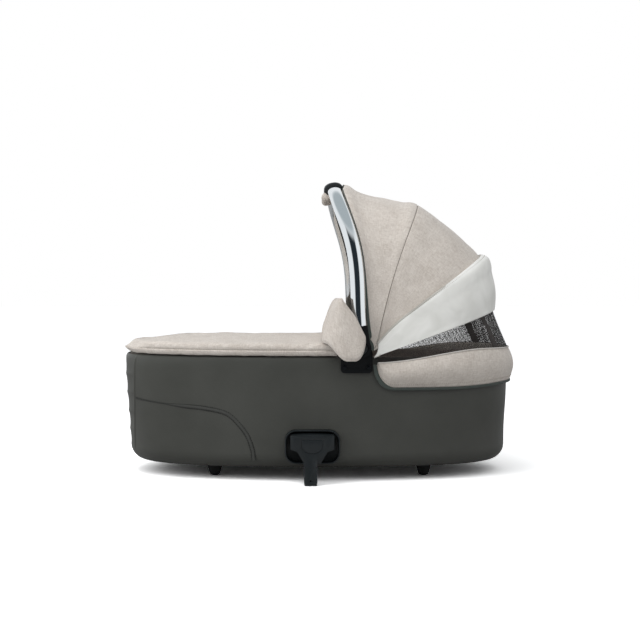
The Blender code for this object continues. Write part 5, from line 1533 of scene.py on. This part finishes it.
    def skirt_lines(self, rows: int) -> tuple[np.ndarray, np.ndarray]:
        """Outer grid of the skirt, bottom to top, and the corner share of each column.

        A column runs from the tub's side, out by size * sin(pi share), to the lower edge of the hood's arch.
        """
        shape = self.shape
        away, y = self.row(shape.cloth_half_width, shape.lower_first)
        flat = shape.skirt_radius * away
        reach, direction = np.hypot(flat, y), np.arctan2(y, flat)
        top = self.skirt_top(shape.pivot_x + flat)
        forward = np.clip((shape.pivot_x + flat - self.skirt_front_x) / self.skirt_corner_run, 0.0, 1.0)
        corner = np.sqrt(np.maximum(1.0 - (1.0 - forward) ** 2, 0.0))
        bottom = mix(top - 0.0040, mix(self.skirt_side_z, self.skirt_rear_z, smooth(away ** 4)), corner)
        grid = []
        for share in np.linspace(0.0, 1.0, rows):
            z = mix(bottom, top, share)
            tub = np.array([self.tub_reach(direction[k:k + 1], min(z[k], self.tub.rim_z))[0]
                            for k in range(len(z))])
            swell = mix(0.0116, 0.0086, smooth(away ** 4)) * math.sin(math.pi * share) * corner
            out = mix(tub + self.skirt_off_tub, reach, share) + swell
            out = np.maximum(out, np.where(z < self.skirt_over_rim_z, tub + self.skirt_least_off_tub, 0.0))
            grid.append(np.column_stack((shape.pivot_x + out * np.cos(direction),
                                         out * np.sin(direction), z)))
        return np.array(grid), corner

    def build_skirt(self) -> None:
        """Skirt: a stuffed band with a welt along its top and a cloth piping along its lower edge."""
        grid, corner = self.skirt_lines(26)
        normals = grid_normals(grid)
        shares = np.linspace(0.0, 1.0, len(grid))[:, None]
        full = smooth(np.minimum(shares, 1.0 - shares) / 0.2) * corner[None]
        grid = grid + normals * (0.0010 * soft_noise(grid, 0.06, SEED + 6) * full)[..., None]
        body = grid_object("skirt_body", grid, [self.finishes.woven])
        turn_faces(body)
        thicken(body, 0.0026)
        cord = sweep_grid(grid[-1] + normals[-1] * 0.0006, UP, 0.0013, 0.0013, 10)
        welt = grid_object("skirt_welt", cord, [self.finishes.woven_pale], wrap=True, capped=True)
        row = 3
        stitches = stitch_row("skirt_stitches", grid[row] + normals[row] * 0.0004, normals[row],
                              self.finishes.pale_thread)
        whole = join_as("skirt_band", [body, welt, stitches])
        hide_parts("hood_skirt")
        wear(whole, "tub")
        low = grid[0]
        run = np.gradient(low, axis=0)
        outward = low * (1.0, 1.0, 0.0) - (self.shape.pivot_x, 0.0, 0.0)
        down = unit(np.cross(outward, run))
        down *= -np.sign(down[len(down) // 2, 2])
        path = low + down * 0.0026 - unit(outward) * 0.0014
        wide = 0.0030 + 0.0022 * smooth(1.0 - (low[:, 0] - low[0, 0] - 0.010) / 0.030)
        cord = grid_object("piping_cord", round_ends(sweep_grid(path, down, wide, 0.0030, 14)),
                           [self.finishes.piping], wrap=True, capped=True)
        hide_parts("skirt_piping")
        wear(cord, "tub")

    def build_trim(self) -> None:
        """Dark binding along the front hem, wider round the hinge, and a cord in the middle seam."""
        shape = self.shape
        meet = shape.seams_meet / shape.skirt_radius
        away, y = self.row(shape.cloth_half_width + 0.0004, shape.canopy_first)
        crown = 0.3385
        half = mix(0.0030, 0.0011, smooth((away - 0.12) / 0.35))
        angle = shape.front_hem(np.maximum(away, meet)) - half / (crown * away)
        turn = np.linspace(math.radians(-12.0), angle[0], 14)[:-1]
        angle = np.concatenate((turn, angle, turn[::-1]))
        count = len(turn)
        drawn = np.full(count, crown * away[0])
        reach = np.concatenate((drawn, crown * away + 0.0004, drawn))
        y = np.concatenate((np.full(count, y[0]), y, np.full(count, y[-1])))
        half = np.concatenate((np.full(count, half[0]), half, np.full(count, half[-1])))
        path = shape.place(angle, reach, y)
        away = reach / crown
        normals = unit(np.column_stack((np.cos(angle) * away, signed_power(y / shape.cloth_half_width, 2),
                                        np.sin(angle) * away)))
        across = np.cross(normals, unit(np.gradient(path, axis=0)))
        band = grid_object("hem_binding", sweep_grid(path, across, half, 0.0008, 12, 3.0),
                           [self.finishes.piping], wrap=True, capped=True)
        wear(band, "handle")
        away, y = shape.arch(1.0, shape.cloth_half_width, meet * 1.15, 260)
        path = shape.place(shape.middle_seam(away), 0.3180 * away, y)
        cord = grid_object("middle_seam_cord", sweep_grid(path, TO_HEAD, 0.0007, 0.0007, 8),
                           [self.finishes.seam], wrap=True, capped=True)
        wear(cord, "middle_bow")

    def build(self) -> None:
        """Builds every piece of the hood's cloth."""
        self.build_panels()
        self.build_flap()
        self.build_net()
        self.build_skirt()
        self.build_trim()


@dataclass
class Apron:
    """Padded cover over the foot part: a pale roll, a stitched groove, a fuller roll and a crowned top."""

    finishes: Finishes
    tub: Tub
    end_x: float = 0.0360
    overhang: float = 0.0030
    crown_z: float = 0.2890
    groove_z: float = 0.2601
    tip_from_x: float = -0.3350
    tip_run: float = 0.0550
    lift_size: float = 0.0035
    lift_from_x: float = -0.3720
    lift_run: float = 0.0280
    lift_below_z: float = 0.2665
    lift_height: float = 0.0165
    thickness: float = 0.0060
    top_row: int = 70

    def rim(self, inset: float, z: float, shares: np.ndarray) -> np.ndarray:
        """Ring of the cover's outline from its head end on one side round the foot end to the other."""
        centre, half_length, half_width, exponent = self.tub.sizes(self.tub.rim_z)
        half_width += self.overhang
        plan = superellipse(centre, half_length - inset, half_width - inset, exponent, 6001)
        plan = plan[plan[:, 0] <= self.end_x]
        plan = resample(plan, shares)
        return np.column_stack((plan, z + self.tub.rise(plan[:, 0])))

    def surface(self) -> tuple[np.ndarray, int]:
        """Outer grid, from under the rim over the rolls to the middle line, and the groove's row."""
        shares = np.linspace(0.0, 1.0, 300)
        side = smooth_path(np.array([
            (0.0078, 0.2490), (0.0046, 0.2496), (0.0022, 0.2516), (0.0004, 0.2548), (-0.0005, 0.2582),
            (0.0008, 0.2601), (-0.0008, 0.2620), (-0.0016, 0.2658), (-0.0004, 0.2702), (0.0034, 0.2736),
            (0.0090, 0.2752), (0.0160, 0.2750), (0.0230, 0.2738), (0.0280, 0.2722), (0.0340, 0.2728)]), 68)
        tip = smooth_path(np.array([
            (0.0078, 0.2490), (0.0060, 0.2498), (0.0040, 0.2512), (0.0022, 0.2532), (0.0006, 0.2554),
            (-0.0008, 0.2574), (0.0018, 0.2602), (0.0066, 0.2646), (0.0120, 0.2690), (0.0172, 0.2728),
            (0.0215, 0.2748), (0.0250, 0.2754), (0.0285, 0.2750), (0.0315, 0.2740), (0.0345, 0.2732)]), 68)
        rows = []
        for (inset, z), (tip_inset, tip_z) in zip(side, tip):
            ring = self.rim(inset, z, shares)
            pointed = smooth((self.tip_from_x - ring[:, :1]) / self.tip_run)
            rows.append(mix(ring, self.rim(tip_inset, tip_z, shares), pointed))
        for ring in rows:
            below = self.lift_below_z - ring[:, 2] + self.tub.rise(ring[:, 0])
            low = np.clip(below / self.lift_height, 0.0, 1.0)
            ring[:, 2] += self.lift_size * smooth((self.lift_from_x - ring[:, 0]) / self.lift_run) * low
        groove = int(np.argmin(np.abs(side[:, 1] - self.groove_z)))
        edge = rows[-1]
        spine_x = np.clip(edge[:, 0], -0.27, self.end_x)
        for share in np.linspace(0.0, 1.0, 46)[1:]:
            ring = edge.copy()
            ring[:, 0] = mix(edge[:, 0], spine_x, share)
            ring[:, 1] = edge[:, 1] * (1.0 - share)
            ring[:, 2] = edge[:, 2] + (self.crown_z - edge[:, 2]) * math.sin(0.5 * math.pi * share) ** 1.1
            rows.append(ring)
        return np.array(rows), groove

    def build(self) -> None:
        """Builds the cover with soft creases, folds beside the collar and its stitches."""
        points, groove = self.surface()
        normals = grid_normals(points)
        normals *= np.sign(normals[self.top_row, :, 2].sum())
        level = smooth((points[..., 2] - 0.2600) / 0.01)
        push = 0.0011 * soft_noise(points, 0.075, SEED + 8) * level
        push += 0.0004 * soft_noise(points, 0.028, SEED + 9)
        for side in SIDES.values():
            for start_x, lean, size in ((-0.020, 0.9, 0.0022), (-0.052, 0.5, 0.0014), (0.010, 0.7, 0.0016)):
                line = points[..., 0] - start_x - lean * (self.tub.half_width_top - side * points[..., 1])
                fade = smooth((side * points[..., 1] - 0.150) / 0.05)
                push -= size * bump_at(line, 0.0, 0.0045) * fade * level
        points = points + normals * push[..., None]
        cover = grid_object("apron_cover", points, [self.finishes.woven])
        turn_faces_up(cover, normals[self.top_row, 10])
        thicken(cover, self.thickness, even=False)
        stitches = stitch_row("groove_stitches", points[groove] + normals[groove] * 0.0002, normals[groove],
                              self.finishes.pale_thread, pitch=0.0044, length=0.0032, radius=0.0004)
        whole = join_as("apron_padding", [cover, stitches])
        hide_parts("apron")
        wear(whole, "tub")


@dataclass
class Collar:
    """Padded windbreak across the cover's head edge, with a rounded wing down each side of the hood."""

    finishes: Finishes
    wing_y: float = 0.2558
    clear_of_apron_y: float = 0.2196
    foot_x: float = 0.0100
    corner_radius: float = 0.0400
    lean: float = 0.0280
    thickness: float = 0.0160
    top_z: float = 0.3630
    end_x: float = 0.0908
    end_z: float = 0.2850
    end_radius: float = 0.0208
    wing_bottom_x: float = 0.0555
    wing_bottom_z: float = 0.2411
    rest_middle_z: float = 0.2890
    rest_side_z: float = 0.2745
    rest_side_y: float = 0.2050
    rest_gap: float = 0.0006
    top_falls_from_x: float = 0.0440
    top_slope: float = 1.4000
    seam_at: float = 0.9000
    seam_width: float = 0.0350
    rings: int = 260
    sides: int = 56

    def plan(self, along: float, lengths: tuple[float, float, float]) -> tuple[float, ...]:
        """Plan point, direction and wing share at a run from the left wing's end."""
        half_front, corner, wing = lengths
        total, mirror = 2.0 * sum(lengths), 1.0
        if along > total / 2:
            along, mirror = total - along, -1.0
        if along < wing:
            return (self.end_x - along, -self.wing_y * mirror, -mirror, 0.0, 1.0)
        if along < wing + corner:
            turn = (along - wing) / self.corner_radius
            return (self.foot_x + self.corner_radius * (1.0 - math.sin(turn)),
                    (-half_front - self.corner_radius * math.cos(turn)) * mirror,
                    -math.cos(turn) * mirror, math.sin(turn), math.cos(turn))
        return (self.foot_x, (-half_front + along - wing - corner) * mirror, 0.0, 1.0, 0.0)

    def edges(self, x: float, y: float) -> tuple[float, float, float]:
        """Lowest and highest level of the wall at a plan point, and how round the wing's end is there."""
        bottom = mix(self.rest_middle_z, self.rest_side_z, (abs(y) / self.rest_side_y) ** 2)
        bottom = max(bottom, self.rest_side_z) + self.rest_gap
        if abs(y) - self.thickness / 2 > self.clear_of_apron_y:
            fall = float(smooth((x - self.foot_x) / (self.wing_bottom_x - self.foot_x)))
            bottom = mix(bottom, self.wing_bottom_z, fall)
        top = self.top_z - self.top_slope * max(x - self.top_falls_from_x, 0.0)
        into_end = max(x - self.end_x + self.end_radius, 0.0) / self.end_radius
        end = math.sqrt(max(1.0 - min(into_end, 1.0) ** 2, 0.0))
        return mix(self.end_z, bottom, end), mix(self.end_z, top, end), end

    def surface(self) -> np.ndarray:
        """Grid of rings along the collar, each a tall rounded section that leans to the head at the front."""
        half_front = self.wing_y - self.corner_radius
        lengths = (half_front, self.corner_radius * math.pi / 2,
                   self.end_x - self.foot_x - self.corner_radius)
        turn = evenly_round(self.sides)
        tall, thick = signed_power(np.sin(turn), 0.6), signed_power(np.cos(turn), 0.7)
        found = []
        for step in np.linspace(0.0, 1.0, self.rings):
            share = mix(step, 0.5 - 0.5 * math.cos(math.pi * step), 0.6)
            along = mix(0.0006, 0.9994, share) * 2.0 * sum(lengths)
            x, y, tangent_x, tangent_y, wing = self.plan(along, lengths)
            bottom, top, end = self.edges(x, y)
            height = max(top - bottom, 0.004)
            wall = self.thickness / 2 * max(end, 0.3) ** 0.6 * thick
            lean = self.lean * (1.0 - wing ** 3) * (tall + 1.0) / 2
            found.append(np.column_stack((x + lean + wall * tangent_y, y - wall * tangent_x,
                                          (top + bottom + height * tall) / 2)))
        return np.array(found)

    def build(self) -> None:
        """Builds the collar with a seam inside its edge."""
        points = self.surface()
        normals = grid_normals(points, True)
        middle, outward = points[self.rings // 2], normals[self.rings // 2]
        if float((outward * (middle - middle.mean(axis=0))).sum()) < 0:
            normals = -normals
        seam = bump_at(np.abs(np.sin(evenly_round(self.sides))), self.seam_at, self.seam_width)
        push = -0.0010 * seam[None] + 0.0008 * soft_noise(points, 0.05, SEED + 10)
        points = points + normals * push[..., None]
        collar = grid_object("collar_padding", points, [self.finishes.woven], wrap=True, capped=True)
        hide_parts("collar")
        wear(collar, "collar")


@dataclass
class Stage:
    """White floor and backdrop, soft lights and the photographer's camera."""

    camera_at: tuple[float, float, float] = (0.0018, -2.6000, 0.3595)
    lens_mm: float = 68.175
    shift_y: float = -0.03125
    aim: tuple[float, float, float] = (0.0, 0.0, 0.25)

    def floor(self) -> None:
        """Large floor that looks white to the camera yet keeps the contact shadow."""
        mesh = bpy.data.meshes.new("studio_floor")
        mesh.from_pydata([(-30.0, -30.0, 0.0), (30.0, -30.0, 0.0), (30.0, 60.0, 0.0), (-30.0, 60.0, 0.0)], [],
                         [(0, 1, 2, 3)])
        material = bpy.data.materials.new("floor_white")
        material.use_nodes = True
        tree = material.node_tree
        tree.nodes.clear()
        paper = add_node(tree, "ShaderNodeBsdfDiffuse", {"Color": linear("b2b2b2")})
        bright = add_node(tree, "ShaderNodeBsdfDiffuse", {"Color": (1.8, 1.8, 1.8, 1.0)})
        ray = add_node(tree, "ShaderNodeLightPath")
        shown = add_node(tree, "ShaderNodeMixShader",
                         {0: ray.outputs["Is Camera Ray"], 1: paper.outputs[0], 2: bright.outputs[0]})
        add_node(tree, "ShaderNodeOutputMaterial", {"Surface": shown.outputs[0]})
        mesh.materials.append(material)
        plane = linked("studio_floor", mesh)

    def backdrop(self) -> None:
        """World: white for the camera, plain studio grey for light, and for mirrors a dark card in front."""
        world = bpy.data.worlds.new("studio")
        bpy.context.scene.world = world
        world.use_nodes = True
        tree = world.node_tree
        tree.nodes.clear()
        ray = add_node(tree, "ShaderNodeLightPath")
        white = add_node(tree, "ShaderNodeBackground", {"Color": (1.0, 1.0, 1.0, 1.0), "Strength": 1.0})
        soft = add_node(tree, "ShaderNodeBackground", {"Color": linear("f6f7f8"), "Strength": 0.64})
        place = add_node(tree, "ShaderNodeTexCoord")
        way = add_node(tree, "ShaderNodeSeparateXYZ", {0: place.outputs["Generated"]})
        off = add_node(tree, "ShaderNodeMath", {0: way.outputs["X"]}, operation="ABSOLUTE")
        ramps = [self.ramp(tree, off.outputs[0], 0.46, 0.32), self.ramp(tree, way.outputs["Y"], 0.05, -0.05),
                 self.ramp(tree, way.outputs["Z"], 0.80, 0.64)]
        card = ramps[0]
        for ramp in ramps[1:]:
            card = add_node(tree, "ShaderNodeMath", {0: card, 1: ramp}, operation="MULTIPLY").outputs[0]
        above = self.ramp(tree, way.outputs["Z"], 0.66, 0.86)
        sky = add_node(tree, "ShaderNodeMix", {0: above, 6: linear("f4f6f8"), 7: linear("b2babe")},
                       data_type="RGBA")
        colour = add_node(tree, "ShaderNodeMix", {0: card, 6: sky.outputs[2], 7: linear("262d32")},
                          data_type="RGBA")
        mirrored = add_node(tree, "ShaderNodeBackground", {"Color": colour.outputs[2], "Strength": 1.0})
        glossy = add_node(tree, "ShaderNodeMixShader",
                          {0: ray.outputs["Is Glossy Ray"], 1: soft.outputs[0], 2: mirrored.outputs[0]})
        shown = add_node(tree, "ShaderNodeMixShader",
                         {0: ray.outputs["Is Camera Ray"], 1: glossy.outputs[0], 2: white.outputs[0]})
        add_node(tree, "ShaderNodeOutputWorld", {"Surface": shown.outputs[0]})

    def ramp(self, tree: NodeTree, value: NodeSocket, low: float, high: float) -> NodeSocket:
        """Soft step of a socket, 0 at low and 1 at high."""
        step = add_node(tree, "ShaderNodeMapRange", {"Value": value, "From Min": low, "From Max": high},
                        interpolation_type="SMOOTHSTEP")
        return step.outputs[0]

    def light(self, name: str, at: tuple[float, float, float], size: float, power: float) -> None:
        """Square area light, turned to the middle of the tub, that mirrors don't show."""
        lamp = bpy.data.lights.new(name, "AREA")
        lamp.shape = "SQUARE"
        lamp.size = size
        lamp.energy = power
        thing = linked(name, lamp)
        thing.visible_glossy = False
        thing.location = at
        thing.rotation_euler = (Vector(self.aim) - Vector(at)).to_track_quat("-Z", "Y").to_euler()

    def camera(self) -> None:
        """Camera that looks level along +Y with a shifted frame."""
        data = bpy.data.cameras.new("camera")
        data.lens = self.lens_mm
        data.sensor_width = 36.0
        data.shift_y = self.shift_y
        thing = linked("camera", data)
        thing.location = self.camera_at
        thing.rotation_euler = (math.radians(90.0), 0.0, 0.0)
        bpy.context.scene.camera = thing

    def build(self) -> None:
        """Sets up the whole stage."""
        self.floor()
        self.backdrop()
        self.light("key", (-0.9, -1.2, 2.5), 1.8, 20.0)
        self.light("side", (-2.1, -1.3, 1.3), 1.4, 20.5)
        self.light("front", (0.5, -2.1, 1.8), 1.6, 9.0)
        self.camera()
        bpy.context.scene.view_settings.view_transform = "Standard"


def main() -> None:
    """Builds the finishes, each sub-assembly in order, and the stage."""
    logging.basicConfig(level=logging.INFO, format="%(name)s: %(message)s")
    finishes = Finishes()
    shape = HoodShape()
    tub = Tub(finishes)
    tub.build()
    Hardware(finishes).build()
    Handle(finishes, shape).build()
    Hood(finishes, shape, tub).build()
    Apron(finishes, tub).build()
    Collar(finishes).build()
    Stage().build()


if __name__ == "__main__":
    main()
